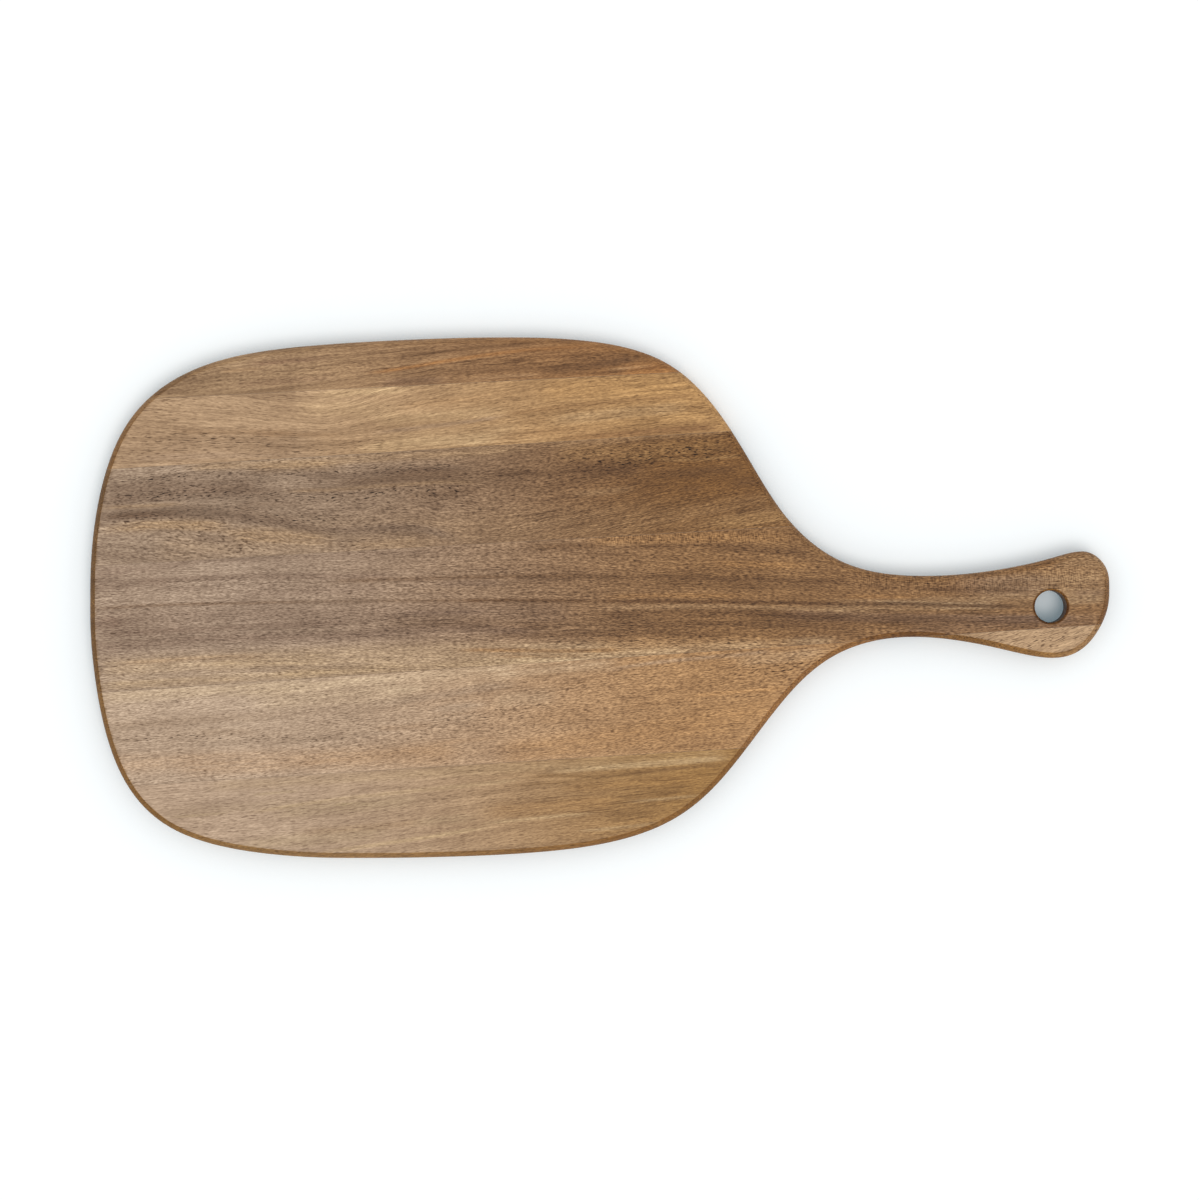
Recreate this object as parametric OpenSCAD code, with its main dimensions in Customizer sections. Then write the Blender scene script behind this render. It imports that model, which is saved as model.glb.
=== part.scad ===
// Paddle charcuterie board: edge-glued staves, cut to a paddle outline, with a hanging hole.
// +X runs to the handle, +Y across the board, +Z up. The underside lies on z = 0.

/* [Board] */
// Overall length, from the far end to the tip of the handle
board_l = 509; // [400:1:640]
// Width across the blade
board_w = 260; // [200:1:330]
// Thickness of the board
board_t = 15; // [11:0.5:24]
// Radius of the rounded rim, above and below
edge_r = 2.5; // [1.5:0.1:4]

/* [Handle] */
// Length of the grip, from the narrowest place of the neck to the tip
grip_l = 98; // [80:1:125]
// Width of the neck at its narrowest
neck_w = 30.6; // [24:0.2:38]
// Width of the flared end of the grip
grip_end_w = 53; // [44:0.5:66]
// How far the handle sits to the -Y side of the blade's middle
handle_offset = 4.4; // [0:0.1:10]
// Diameter of the hanging hole
hole_d = 16; // [8:0.5:18]
// Distance from the middle of the hanging hole to the tip
hole_inset = 29.5; // [24:0.5:38]
// Width of the eased rim of the hanging hole
hole_edge = 1.2; // [0.4:0.1:1.4]

/* [Staves] */
// Angle between the staves and the length of the board, in degrees
stave_tilt = 3.5; // [2:0.1:4.5]
// How deep the neck is cut past the joint under the handle stave
neck_cut = 0.35; // [0.3:0.05:1.5]
// Thickness of the cured glue in each joint
glue_t = 0.15; // [0.1:0.01:0.3]

/* [Hidden] */

// Smoothness: steps along each span of the outline, steps up the rounded rim, sides of a circle
span_steps = 5;
rim_steps = 3;
$fn = 64;

// One overrun for every cut
overrun = 2;

// Colours of the woods and of the cured glue
top_edge_colour = [0.59, 0.45, 0.34];
pale_colour = [0.68, 0.55, 0.41];
figured_colour = [0.55, 0.44, 0.34];
handle_colour = [0.58, 0.47, 0.36];
lower_colour = [0.69, 0.57, 0.45];
bottom_edge_colour = [0.67, 0.55, 0.43];
tip_colour = [0.71, 0.58, 0.45];
glue_colour = [0.38, 0.29, 0.21];

blade_l = board_l - grip_l;
far_x = -board_l / 2;
tip_x = board_l / 2;
neck_x = far_x + blade_l;
handle_y = -handle_offset;
hole_r = hole_d / 2;

// Control points of the blade's outline, from the far end to the shoulders.
// Each is a share of the blade's length from the far end, and a share of half its width.
blade_upper_shares = [
    [0, 0.257], [0.032, 0.694], [0.130, 0.918], [0.271, 0.976], [0.449, 1], [0.505, 1],
    [0.585, 1], [0.713, 0.939], [0.7905, 0.603], [0.8395, 0.299]
];
blade_lower_shares = [
    [0, -0.210], [0.022, -0.649], [0.091, -0.930], [0.240, -1], [0.326, -1], [0.407, -1],
    [0.601, -0.977], [0.712, -0.874], [0.776, -0.680], [0.835, -0.411]
];
far_end_share = -0.032;

// Control points of the grip. Each is a share of the grip's length from the neck, and a share of
// half the width of the neck (roots) or of the flared end (flares), from the handle's axis.
root_upper_shares = [-0.349, 1.146];
root_lower_shares = [-0.437, -1.484];
flare_upper_shares = [[0.431, 0.664], [0.728, 0.910]];
flare_lower_shares = [[0.401, -0.721]];
end_upper_share = 0.742;
end_tip_share = 0.350;
end_lower_shares = [[0.890, -0.831], [1, -0.099]];

// Places that the outline passes through: the neck's two sides and the widest places of the end
neck_upper_share = 0.056;
neck_lower_share = -0.046;
widest_upper_shares = [0.880, 1.033];
widest_lower_shares = [0.686, -0.967];

// Joints above the handle stave, as shares of the way from the joint under it to the upper edge,
// and the joint below, as a share of the way from that same joint to the lower edge
upper_joint_shares = [0.377, 0.681, 0.877];
lower_joint_share = 0.490;

// The staves taper a little: how far each joint is turned from the staves, in degrees
upper_joint_turns = [-0.25, 0, -0.65];
handle_joint_turn = 0.4;
bottom_joint_turn = 0;

function blade_point(share) = [far_x + share[0] * blade_l, share[1] * board_w / 2];
function neck_point(share) = [neck_x + share[0] * grip_l, handle_y + share[1] * neck_w / 2];
function grip_point(share) = [neck_x + share[0] * grip_l, handle_y + share[1] * grip_end_w / 2];

// Control point that makes the curve pass through a place, between two other control points
function through(place, before, after) = (6 * place - before - after) / 4;

root_upper = neck_point(root_upper_shares);
root_lower = neck_point(root_lower_shares);
flare_upper = [for (share = flare_upper_shares) grip_point(share)];
flare_lower = [for (share = flare_lower_shares) grip_point(share)];
end_upper = grip_point([1, end_upper_share]);
end_lower = [for (share = end_lower_shares) grip_point(share)];
neck_upper_place = neck_point([neck_upper_share, 1]);
neck_lower_place = neck_point([neck_lower_share, -1]);

upper_chain = concat(
    [for (share = blade_upper_shares) blade_point(share)],
    [root_upper, through(neck_upper_place, root_upper, flare_upper[0])],
    flare_upper,
    [through(grip_point(widest_upper_shares), flare_upper[1], end_upper), end_upper]
);
lower_chain = concat(
    [for (share = blade_lower_shares) blade_point(share)],
    [root_lower, through(neck_lower_place, root_lower, flare_lower[0])],
    flare_lower,
    [through(grip_point(widest_lower_shares), flare_lower[0], end_lower[0])],
    end_lower
);
far_end = blade_point([0, far_end_share]);
tip = grip_point([1, end_tip_share]);
chain_n = len(upper_chain);

// The closed control polygon: over the top to the tip, and back underneath
control = concat(
    [far_end],
    upper_chain,
    [tip],
    [for (i = [chain_n - 1 : -1 : 0]) lower_chain[i]]
);
control_n = len(control);
outline_n = control_n * span_steps;

function control_at(i) = control[(i + control_n) % control_n];

// Place on the closed cubic B-spline, at share t of span i
function spline_place(i, t) = (
    pow(1 - t, 3) * control_at(i - 1)
    + (3 * pow(t, 3) - 6 * pow(t, 2) + 4) * control_at(i)
    + (-3 * pow(t, 3) + 3 * pow(t, 2) + 3 * t + 1) * control_at(i + 1)
    + pow(t, 3) * control_at(i + 2)
) / 6;

// Direction of travel there
function spline_way(i, t) = (
    -pow(1 - t, 2) * control_at(i - 1)
    + (3 * pow(t, 2) - 4 * t) * control_at(i)
    + (-3 * pow(t, 2) + 2 * t + 1) * control_at(i + 1)
    + pow(t, 2) * control_at(i + 2)
) / 2;

// Unit vector into the board, to the right of the direction of travel
function inward(way) = [way[1], -way[0]] / norm(way);

outline = [
    for (i = [0 : control_n - 1]) for (k = [0 : span_steps - 1]) spline_place(i, k / span_steps)
];
outline_inward = [
    for (i = [0 : control_n - 1]) for (k = [0 : span_steps - 1]) inward(spline_way(i, k / span_steps))
];

// Rim profile from the underside to the top: distance in from the outline, and height
rim_turns = [for (k = [0 : rim_steps]) k * 90 / rim_steps];
rim_quarter = [for (turn = rim_turns) edge_r * [1 - cos(turn), 1 - sin(turn)]];
rim_profile = concat(
    [for (k = [rim_steps : -1 : 0]) rim_quarter[k]],
    [for (rim = rim_quarter) [rim[0], board_t - rim[1]]]
);
rim_n = len(rim_profile);

// Place number i of ring r, counted round the outline
function ring_index(r, i) = r * outline_n + (i % outline_n);

// Triangles of the flat top or underside, in pairs across the board from the far end to the tip
function cap_faces(r) = [
    for (i = [0 : outline_n / 2 - 1])
        for (face = [
            [ring_index(r, i), ring_index(r, i + 1), ring_index(r, outline_n - i - 1)],
            [ring_index(r, i), ring_index(r, outline_n - i - 1), ring_index(r, outline_n - i)]
        ])
            if (face[0] != face[1] && face[1] != face[2] && face[2] != face[0]) face
];

function turned(face) = [face[2], face[1], face[0]];

// The glued-up panel, cut to the outline and rounded along its rim
module blank() {
    polyhedron(
        points = [
            for (rim = rim_profile) for (i = [0 : outline_n - 1])
                let (place = outline[i] + rim[0] * outline_inward[i])
                [place[0], place[1], rim[1]]
        ],
        faces = concat(
            [for (face = cap_faces(0)) turned(face)],
            cap_faces(rim_n - 1),
            [
                for (r = [0 : rim_n - 2]) for (i = [0 : outline_n - 1])
                    [ring_index(r, i), ring_index(r, i + 1), ring_index(r + 1, i + 1)]
            ],
            [
                for (r = [0 : rim_n - 2]) for (i = [0 : outline_n - 1])
                    [ring_index(r, i), ring_index(r + 1, i + 1), ring_index(r + 1, i)]
            ]
        )
    );
}

hole_place = [tip_x - hole_inset, handle_y, 0];

// The hanging hole, with its two eased rims
module hanging_hole() {
    translate(hole_place) {
        translate([0, 0, -overrun])
            cylinder(h = board_t + 2 * overrun, r = hole_r);
        translate([0, 0, board_t - hole_edge])
            cylinder(h = hole_edge + overrun, r1 = hole_r, r2 = hole_r + hole_edge + overrun);
        translate([0, 0, -overrun])
            cylinder(h = hole_edge + overrun, r1 = hole_r + hole_edge + overrun, r2 = hole_r);
    }
}

// Places along and across the staves, from the middle of the board
function along(place) = place[0] * cos(stave_tilt) + place[1] * sin(stave_tilt);
function across(place) = place[1] * cos(stave_tilt) - place[0] * sin(stave_tilt);

// Each joint has its place across the staves at the middle of the board, and its turn.
// The one under the handle stave passes just below the neck.
handle_joint_place = across(neck_lower_place) - neck_cut * cos(stave_tilt)
    - along(neck_lower_place) * tan(handle_joint_turn);
handle_joint = [handle_joint_place, handle_joint_turn];
upper_way = board_w / 2 - handle_joint_place;
upper_joints = [
    for (i = [0 : len(upper_joint_shares) - 1])
        [handle_joint_place + upper_joint_shares[i] * upper_way, upper_joint_turns[i]]
];
bottom_joint = [
    handle_joint_place - lower_joint_share * (board_w / 2 + handle_joint_place), bottom_joint_turn
];
reach = board_l + board_w;

// The board as one panel, with its hanging hole
module panel() {
    difference() {
        blank();
        hanging_hole();
    }
}

// Puts what is drawn on the line y = 0 on a joint, shifted across the staves
module on_joint(joint, shift) {
    rotate([0, 0, stave_tilt])
        translate([0, joint[0] + shift, -overrun])
            rotate([0, 0, joint[1]])
                children();
}

// All that lies above a joint, or below it
module above(joint, shift) {
    on_joint(joint, shift)
        translate([-reach, 0, 0])
            cube([2 * reach, reach, board_t + 2 * overrun]);
}

module below(joint, shift) {
    on_joint(joint, shift)
        translate([-reach, -reach, 0])
            cube([2 * reach, reach, board_t + 2 * overrun]);
}

// The stave between two joints, clear of the glue in them
module strip(low, high) {
    intersection() {
        panel();
        above(low, glue_t / 2);
        below(high, -glue_t / 2);
    }
}

// The part of a strip on the blade's side of the neck
module blade_side() {
    intersection() {
        children();
        translate([neck_lower_place[0] - reach, -reach, -overrun])
            cube([reach, 2 * reach, board_t + 2 * overrun]);
    }
}

// The part of a strip on the grip's side of the neck
module grip_side() {
    intersection() {
        children();
        translate([neck_lower_place[0], -reach, -overrun])
            cube([reach, 2 * reach, board_t + 2 * overrun]);
    }
}

// The cured glue centred on a joint
module glue_line(joint) {
    color(glue_colour)
        intersection() {
            panel();
            above(joint, -glue_t / 2);
            below(joint, glue_t / 2);
        }
}

module top_edge_stave() {
    color(top_edge_colour)
        intersection() {
            panel();
            above(upper_joints[2], glue_t / 2);
        }
}

module pale_stave() {
    color(pale_colour)
        strip(upper_joints[1], upper_joints[2]);
}

module figured_stave() {
    color(figured_colour)
        strip(upper_joints[0], upper_joints[1]);
}

module handle_stave() {
    color(handle_colour)
        strip(handle_joint, upper_joints[0]);
}

module lower_stave() {
    color(lower_colour)
        blade_side()
            strip(bottom_joint, handle_joint);
}

module bottom_edge_stave() {
    color(bottom_edge_colour)
        intersection() {
            panel();
            below(bottom_joint, -glue_t / 2);
        }
}

module handle_tip_piece() {
    color(tip_colour)
        grip_side()
            strip(bottom_joint, handle_joint);
}

module upper_glue_line() {
    glue_line(upper_joints[2]);
}

module pale_glue_line() {
    glue_line(upper_joints[1]);
}

module handle_upper_glue_line() {
    glue_line(upper_joints[0]);
}

module handle_lower_glue_line() {
    blade_side()
        glue_line(handle_joint);
}

module bottom_glue_line() {
    glue_line(bottom_joint);
}

module tip_glue_line() {
    grip_side()
        glue_line(handle_joint);
}

top_edge_stave();
pale_stave();
figured_stave();
handle_stave();
lower_stave();
bottom_edge_stave();
handle_tip_piece();
upper_glue_line();
pale_glue_line();
handle_upper_glue_line();
handle_lower_glue_line();
bottom_glue_line();
tip_glue_line();
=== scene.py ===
import math
from typing import NamedTuple

import bmesh
import bpy
import numpy as np
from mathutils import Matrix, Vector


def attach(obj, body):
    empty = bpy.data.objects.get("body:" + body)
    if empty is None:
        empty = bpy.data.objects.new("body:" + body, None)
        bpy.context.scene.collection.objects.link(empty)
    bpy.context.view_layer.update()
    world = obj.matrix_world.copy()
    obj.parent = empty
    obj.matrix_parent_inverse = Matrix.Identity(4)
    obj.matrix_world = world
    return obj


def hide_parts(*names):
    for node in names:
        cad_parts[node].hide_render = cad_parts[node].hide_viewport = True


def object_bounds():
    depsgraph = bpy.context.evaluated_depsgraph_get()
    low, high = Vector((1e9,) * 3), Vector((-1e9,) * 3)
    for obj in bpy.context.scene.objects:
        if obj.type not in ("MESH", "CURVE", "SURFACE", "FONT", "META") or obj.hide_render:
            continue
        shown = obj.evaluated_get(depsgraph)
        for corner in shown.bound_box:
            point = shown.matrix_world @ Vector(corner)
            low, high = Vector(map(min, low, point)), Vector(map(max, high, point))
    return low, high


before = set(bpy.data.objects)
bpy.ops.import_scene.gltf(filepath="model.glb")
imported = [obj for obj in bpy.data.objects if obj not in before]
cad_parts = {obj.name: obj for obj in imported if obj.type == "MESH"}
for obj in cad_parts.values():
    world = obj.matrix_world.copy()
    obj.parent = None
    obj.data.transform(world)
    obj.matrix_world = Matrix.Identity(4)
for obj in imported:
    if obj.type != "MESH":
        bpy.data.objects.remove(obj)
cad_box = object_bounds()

# A paddle charcuterie board of edge-glued acacia staves: its staves, glue lines, woods and stage.
# +X runs to the handle, +Y across the board, +Z up. The underside lies on z = 0.
bl_info = {
    "name": "Paddle charcuterie board",
    "version": (1, 0, 0),
    "blender": (4, 5, 0),
    "location": "3D View > Sidebar > Board",
    "description": "Builds a paddle board of edge-glued staves, with its woods, stage and light",
    "category": "Add Mesh",
}

MM = 0.001
BOARD_L, BOARD_W, BOARD_T = cad_box[1] - cad_box[0]

# Control points of the blade's outline, from the far end to the shoulders.
# Each is a share of the blade's length from the far end, and a share of half its width.
BLADE_UPPER_SHARES = [
    (0, 0.257), (0.032, 0.694), (0.130, 0.918), (0.271, 0.976), (0.449, 1), (0.505, 1),
    (0.585, 1), (0.713, 0.939), (0.7905, 0.603), (0.8395, 0.299),
]
BLADE_LOWER_SHARES = [
    (0, -0.210), (0.022, -0.649), (0.091, -0.930), (0.240, -1), (0.326, -1), (0.407, -1),
    (0.601, -0.977), (0.712, -0.874), (0.776, -0.680), (0.835, -0.411),
]
FAR_END_SHARES = (0, -0.032)

# Control points of the grip. Each is a share of the grip's length from the neck, and a share of
# half the width of the neck (roots) or of the flared end (flares), from the handle's axis.
ROOT_UPPER_SHARES = (-0.349, 1.146)
ROOT_LOWER_SHARES = (-0.437, -1.484)
FLARE_UPPER_SHARES = [(0.431, 0.664), (0.728, 0.910)]
FLARE_LOWER_SHARES = [(0.401, -0.721)]
END_UPPER_SHARES = (1, 0.742)
END_TIP_SHARES = (1, 0.350)
END_LOWER_SHARES = [(0.890, -0.831), (1, -0.099)]

# Places that the outline passes through: the neck's two sides and the widest places of the end
NECK_UPPER_SHARES = (0.056, 1)
NECK_LOWER_SHARES = (-0.046, -1)
WIDEST_UPPER_SHARES = (0.880, 1.033)
WIDEST_LOWER_SHARES = (0.686, -0.967)

# Joints above the handle stave, as shares of the way from the joint under it to the upper edge,
# and the joint below, as a share of the way from that same joint to the lower edge
UPPER_JOINT_SHARES = (0.377, 0.681, 0.877)
LOWER_JOINT_SHARE = 0.490

# The staves taper a little: how far each joint is turned from the staves
UPPER_JOINT_TURNS = (math.radians(-0.25), 0, math.radians(-0.65))
HANDLE_JOINT_TURN = math.radians(0.4)
BOTTOM_JOINT_TURN = 0

# Fineness of the meshes: grid steps along and across the grain, steps round each eased edge,
# rows round the hanging hole, and places on each span of the outline when it is searched
STEP_ALONG = 1.25 * MM
STEP_ACROSS = 0.9 * MM
GLUE_STEP_ALONG = 6 * MM
EDGE_STEPS = 8
HOLE_ROWS = 14
SPAN_PLACES = 160
SEW_DISTANCE = 0.001 * MM
SHARP_ANGLE = math.radians(35)

# Places on a run of the rim before they are spaced evenly: for each step, and on top of those
RUN_PLACES_A_STEP = 4
RUN_PLACES = 200

# Steps on the run of the rim that tells how wide an edge piece is
WIDTH_STEPS = 100

# How far left of the hanging hole's middle the grid changes to rows round the hole
HOLE_GRID_INSET = 17 * MM


def length(name, description, default):
    """A length, as a property."""
    return bpy.props.FloatProperty(
        name=name, description=description, default=default, min=0, unit="LENGTH", precision=5
    )


def colour(name, description, default):
    """A colour, as a property."""
    return bpy.props.FloatVectorProperty(
        name=name, description=description, default=default, size=3, min=0, max=1, subtype="COLOR"
    )


def wood_colours(group_name, description, far, near, heart, mauve, gold, pale):
    """A property group with the colours of one stave's wood."""
    colours = {
        # The far-end colour is lighter and greyer than the handle end: partly the wood's own tone, partly a
        # painted sheen
        "far": colour("Far end", "Wood at the end away from the handle's tip", far),
        "near": colour("Handle end", "Wood at the end towards the handle's tip", near),
        "heart": colour("Heartwood", "Dark bands", heart),
        "mauve": colour("Grey heartwood", "Grey-mauve bands", mauve),
        "gold": colour("Golden wood", "Golden bands", gold),
        "pale": colour("Pale wood", "Light bands", pale),
    }
    members = {"__doc__": description, "__annotations__": colours}
    return type(group_name, (bpy.types.PropertyGroup,), members)


class BoardSizes(bpy.types.PropertyGroup):
    """Sizes of the board."""

    board_l: length("Board length", "From the far end to the tip of the handle", BOARD_L)
    board_w: length("Board width", "Across the blade", BOARD_W)
    board_t: length("Board thickness", "From the underside to the serving face", BOARD_T)
    edge_r: length("Eased rim", "Width of the eased rim, above and below", 2.85 * MM)
    rim_softness: bpy.props.FloatProperty(
        name="Rim flatness",
        description="Form of the eased rim: 1 is a quarter round, 2 a flat chamfer",
        default=1.5, min=1, max=2, subtype="FACTOR",
    )
    grip_l: length("Grip length", "From the narrowest place of the neck to the tip", 98 * MM)
    neck_w: length("Neck width", "Width of the neck at its narrowest", 30.6 * MM)
    grip_end_w: length("Grip end width", "Width of the flared end of the grip", 53 * MM)
    handle_offset: length("Handle offset", "How far the handle sits to the -Y side", 4.4 * MM)
    hole_d: length("Hole diameter", "Diameter of the hanging hole", 16 * MM)
    hole_inset: length("Hole inset", "From the middle of the hanging hole to the tip", 29.5 * MM)
    hole_edge: length("Hole edge", "Width of the eased rim of the hanging hole", 1.2 * MM)
    stave_tilt: bpy.props.FloatProperty(
        name="Stave tilt", description="Angle between the staves and the length of the board",
        default=math.radians(3.5), subtype="ANGLE",
    )
    neck_cut: length("Neck cut", "How deep the neck is cut past the joint below it", 0.35 * MM)
    glue_t: length("Glue thickness", "Thickness of the cured glue in each joint", 0.15 * MM)


class StageColours(bpy.types.PropertyGroup):
    """Colours of the cured glue and of the stage."""

    glue: colour("Glue", "Cured glue in the joints", (0.200, 0.125, 0.070))
    floor: colour("Floor", "Pale floor under the board", (0.97, 0.95, 0.935))
    glow: colour("Floor glow", "Faint cool glow that the camera sees on the floor", (0.0, 0.62, 0.92))
    sky: colour("Sky", "Even light all round", (1.0, 1.0, 1.0))
    backdrop: colour("Backdrop", "Surroundings, as the camera sees them", (1.0, 1.0, 1.0))


TopEdgeColours = wood_colours(
    "TopEdgeColours",
    "Colours of the stave along the upper edge.",
    far=(0.291, 0.179, 0.096), near=(0.262, 0.121, 0.042),
    heart=(0.120, 0.056, 0.023), mauve=(0.198, 0.109, 0.059),
    gold=(0.316, 0.140, 0.045), pale=(0.390, 0.228, 0.114),
)

PaleColours = wood_colours(
    "PaleColours",
    "Colours of the pale stave.",
    far=(0.371, 0.236, 0.134), near=(0.380, 0.210, 0.083),
    heart=(0.233, 0.117, 0.047), mauve=(0.300, 0.190, 0.113),
    gold=(0.431, 0.231, 0.084), pale=(0.511, 0.338, 0.176),
)

FiguredColours = wood_colours(
    "FiguredColours",
    "Colours of the figured stave.",
    far=(0.311, 0.215, 0.144), near=(0.172, 0.078, 0.024),
    heart=(0.088, 0.041, 0.018), mauve=(0.180, 0.113, 0.071),
    gold=(0.325, 0.180, 0.071), pale=(0.368, 0.228, 0.117),
)

HandleColours = wood_colours(
    "HandleColours",
    "Colours of the handle stave.",
    far=(0.327, 0.228, 0.157), near=(0.221, 0.113, 0.046),
    heart=(0.102, 0.047, 0.019), mauve=(0.171, 0.103, 0.067),
    gold=(0.337, 0.167, 0.059), pale=(0.448, 0.304, 0.172),
)

LowerColours = wood_colours(
    "LowerColours",
    "Colours of the stave below the handle stave.",
    far=(0.414, 0.294, 0.201), near=(0.357, 0.194, 0.084),
    heart=(0.198, 0.098, 0.040), mauve=(0.322, 0.218, 0.141),
    gold=(0.423, 0.223, 0.089), pale=(0.521, 0.377, 0.239),
)

BottomEdgeColours = wood_colours(
    "BottomEdgeColours",
    "Colours of the stave along the lower edge.",
    far=(0.399, 0.277, 0.186), near=(0.283, 0.148, 0.047),
    heart=(0.181, 0.093, 0.034), mauve=(0.312, 0.215, 0.121),
    gold=(0.361, 0.187, 0.062), pale=(0.468, 0.323, 0.174),
)

TipColours = wood_colours(
    "TipColours",
    "Colours of the handle tip piece.",
    far=(0.401, 0.243, 0.124), near=(0.409, 0.260, 0.145),
    heart=(0.237, 0.135, 0.067), mauve=(0.335, 0.225, 0.137),
    gold=(0.422, 0.239, 0.103), pale=(0.500, 0.337, 0.192),
)


class Crest(NamedTuple):
    """A place where the growth rings crest through the face: its middle, its reach along and across,
    and how far it lifts the rings, in millimetres."""

    along: float
    across: float
    long: float
    wide: float
    lift: float


class Timber(NamedTuple):
    """How one stave has grown, with places along and across the staves in millimetres from the middle of
    the board.

    It has rows of places that its grain follows, crests of its rings, and bands along growth lines. The
    bands are sorted by their tint or figure, and each holds its amount, half its width and the places
    that it passes. Its rings lean across by a share of their depth. Then come how strong its streaks,
    its fibres and its specks are, and how long its dark dashes are in millimetres.
    """

    grain: tuple
    crests: tuple
    bands: dict
    lean: float
    streaks: float
    grit: float
    specks: float
    dash: float


TOP_EDGE_TIMBER = Timber(
    grain=(
        ((-180, 110), (-110, 112.5), (-60, 114), (-10, 115), (50, 117)),
        ((-180, 114), (-110, 118.5), (-90, 120), (-70, 122.3), (-52, 124), (-33, 125.2), (10, 125.6)),
        ((-180, 125), (-134, 126), (-85, 127), (-60, 127.9), (-25, 129)),
    ),
    crests=(Crest(-33, 117.5, 14, 2.0, 0.6),),
    bands={
        "heart": (
            (0.75, 0.8, (-96, 126), (-78, 127), (-60, 127.9), (-40, 128.6), (-20, 129.2)),
            (0.45, 1.0, (-38, 128.8), (-20, 128.9), (-2, 128)),
            (0.35, 1.4, (-104, 112.6), (-72, 112.4)),
            (0.35, 1.4, (-98, 115.6), (-68, 118.4), (-45, 119.6), (-14, 119.4)),
            (0.4, 1.5, (-72, 115), (-48, 116.2), (-16, 116.4)),
            (0.25, 2.6, (-78, 115.6), (-44, 116.4), (-6, 116.6)),
            (0.85, 2.0, (-28, 114.6), (0, 115.2), (30, 117.6)),
            (0.65, 2.8, (-22, 118.8), (4, 119.6), (22, 119.2), (40, 116.8)),
            (0.6, 1.0, (4, 111.4), (22, 112.4)),
        ),
        "mauve": (
            (0.8, 1.3, (-174, 126.8), (-150, 127.2), (-122, 127.6)),
            (0.45, 1.7, (-182, 116.8), (-150, 117.4), (-118, 118)),
            (0.8, 2.0, (-108, 113), (-90, 113.6), (-66, 112.8)),
        ),
        "gold": (
            (0.85, 0.9, (-112, 118.6), (-90, 120.2), (-70, 122.4), (-52, 124), (-33, 125.2), (4, 125.6)),
            (0.7, 2.6, (16, 111), (50, 112)),
        ),
        "pale": (
            (0.5, 0.7, (-184, 124), (-158, 124.4)),
            (0.5, 0.9, (-64, 112.2), (-40, 113), (-18, 112.8)),
            (0.6, 0.7, (8, 113), (36, 113.8)),
        ),
        "pores": (
            (1.0, 1.4, (0, 111.4), (26, 112.4)),
        ),
        "lines": (
            (0.9, 8.0, (-120, 121), (-60, 122), (10, 120)),
        ),
    },
    lean=0.5, streaks=1.0, grit=0.75, specks=0.8, dash=4.0,
)

PALE_TIMBER = Timber(
    grain=(
        ((-240, 80), (-150, 77.5), (-60, 78.5), (-14, 79.9), (13, 81.3), (66, 82.5), (95, 84)),
        ((-240, 94), (-160, 89.5), (-125, 88), (-105, 89), (-80, 90.5), (-55, 92), (-40, 93.5), (10, 97),
         (59, 98)),
        ((-240, 112), (-180, 104), (-125, 97), (-95, 103), (-70, 107), (0, 112), (50, 114)),
    ),
    crests=(),
    bands={
        "heart": (
            (0.35, 1.2, (-212, 96), (-180, 93.6), (-140, 91.6)),
            (0.4, 1.0, (-174, 92), (-150, 90.6), (-118, 88.4)),
            (0.6, 1.2, (-48, 93), (-20, 95.6), (10, 97), (62, 97.8)),
            (0.3, 2.0, (-100, 101), (-74, 102.4), (-44, 103.4)),
            (0.8, 1.5, (-24, 79.7), (10, 80.9), (70, 81.9)),
            (0.5, 2.0, (-6, 78.8), (74, 79.6)),
            (0.25, 2.4, (-36, 83), (0, 83.4), (40, 83.6), (72, 84)),
            (0.2, 5.0, (-60, 106), (-30, 106), (-8, 104)),
            (0.3, 1.8, (-46, 83.8), (-20, 84.6), (8, 85.6)),
        ),
        "mauve": (
            (0.5, 8.0, (-244, 85), (-190, 85.5), (-132, 84)),
            (0.5, 0.8, (-232, 82.4), (-176, 81.6), (-130, 79)),
            (0.8, 1.0, (-112, 88.6), (-80, 90.4), (-55, 92), (-36, 93.8)),
            (0.45, 1.5, (-232, 83.4), (-206, 83), (-172, 82.4)),
        ),
        "gold": (
            (0.3, 6.0, (-30, 105), (20, 104), (60, 98), (85, 90)),
        ),
        "pale": (
            (0.3, 4.0, (-150, 104), (-124, 102), (-90, 99)),
            (0.45, 2.6, (-112, 94.6), (-80, 95), (-36, 95.6)),
            (0.6, 1.8, (-140, 109), (-110, 109.6), (-84, 109.4)),
            (0.75, 2.6, (-120, 81.6), (-76, 82), (-40, 82.6)),
            (0.35, 3.0, (-112, 84.6), (-70, 85.6), (-30, 86.8)),
            (0.5, 2.6, (-24, 89.4), (10, 91), (54, 92.2)),
        ),
        "pores": (
            (1.0, 5.0, (-240, 92), (-190, 90.6), (-136, 87)),
            (1.0, 3.4, (-160, 84), (-128, 83), (-92, 84.6)),
        ),
        "lines": (
            (0.7, 6.0, (-10, 84), (30, 88), (70, 90)),
        ),
    },
    lean=0.5, streaks=0.8, grit=0.95, specks=0.55, dash=4.6,
)

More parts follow.
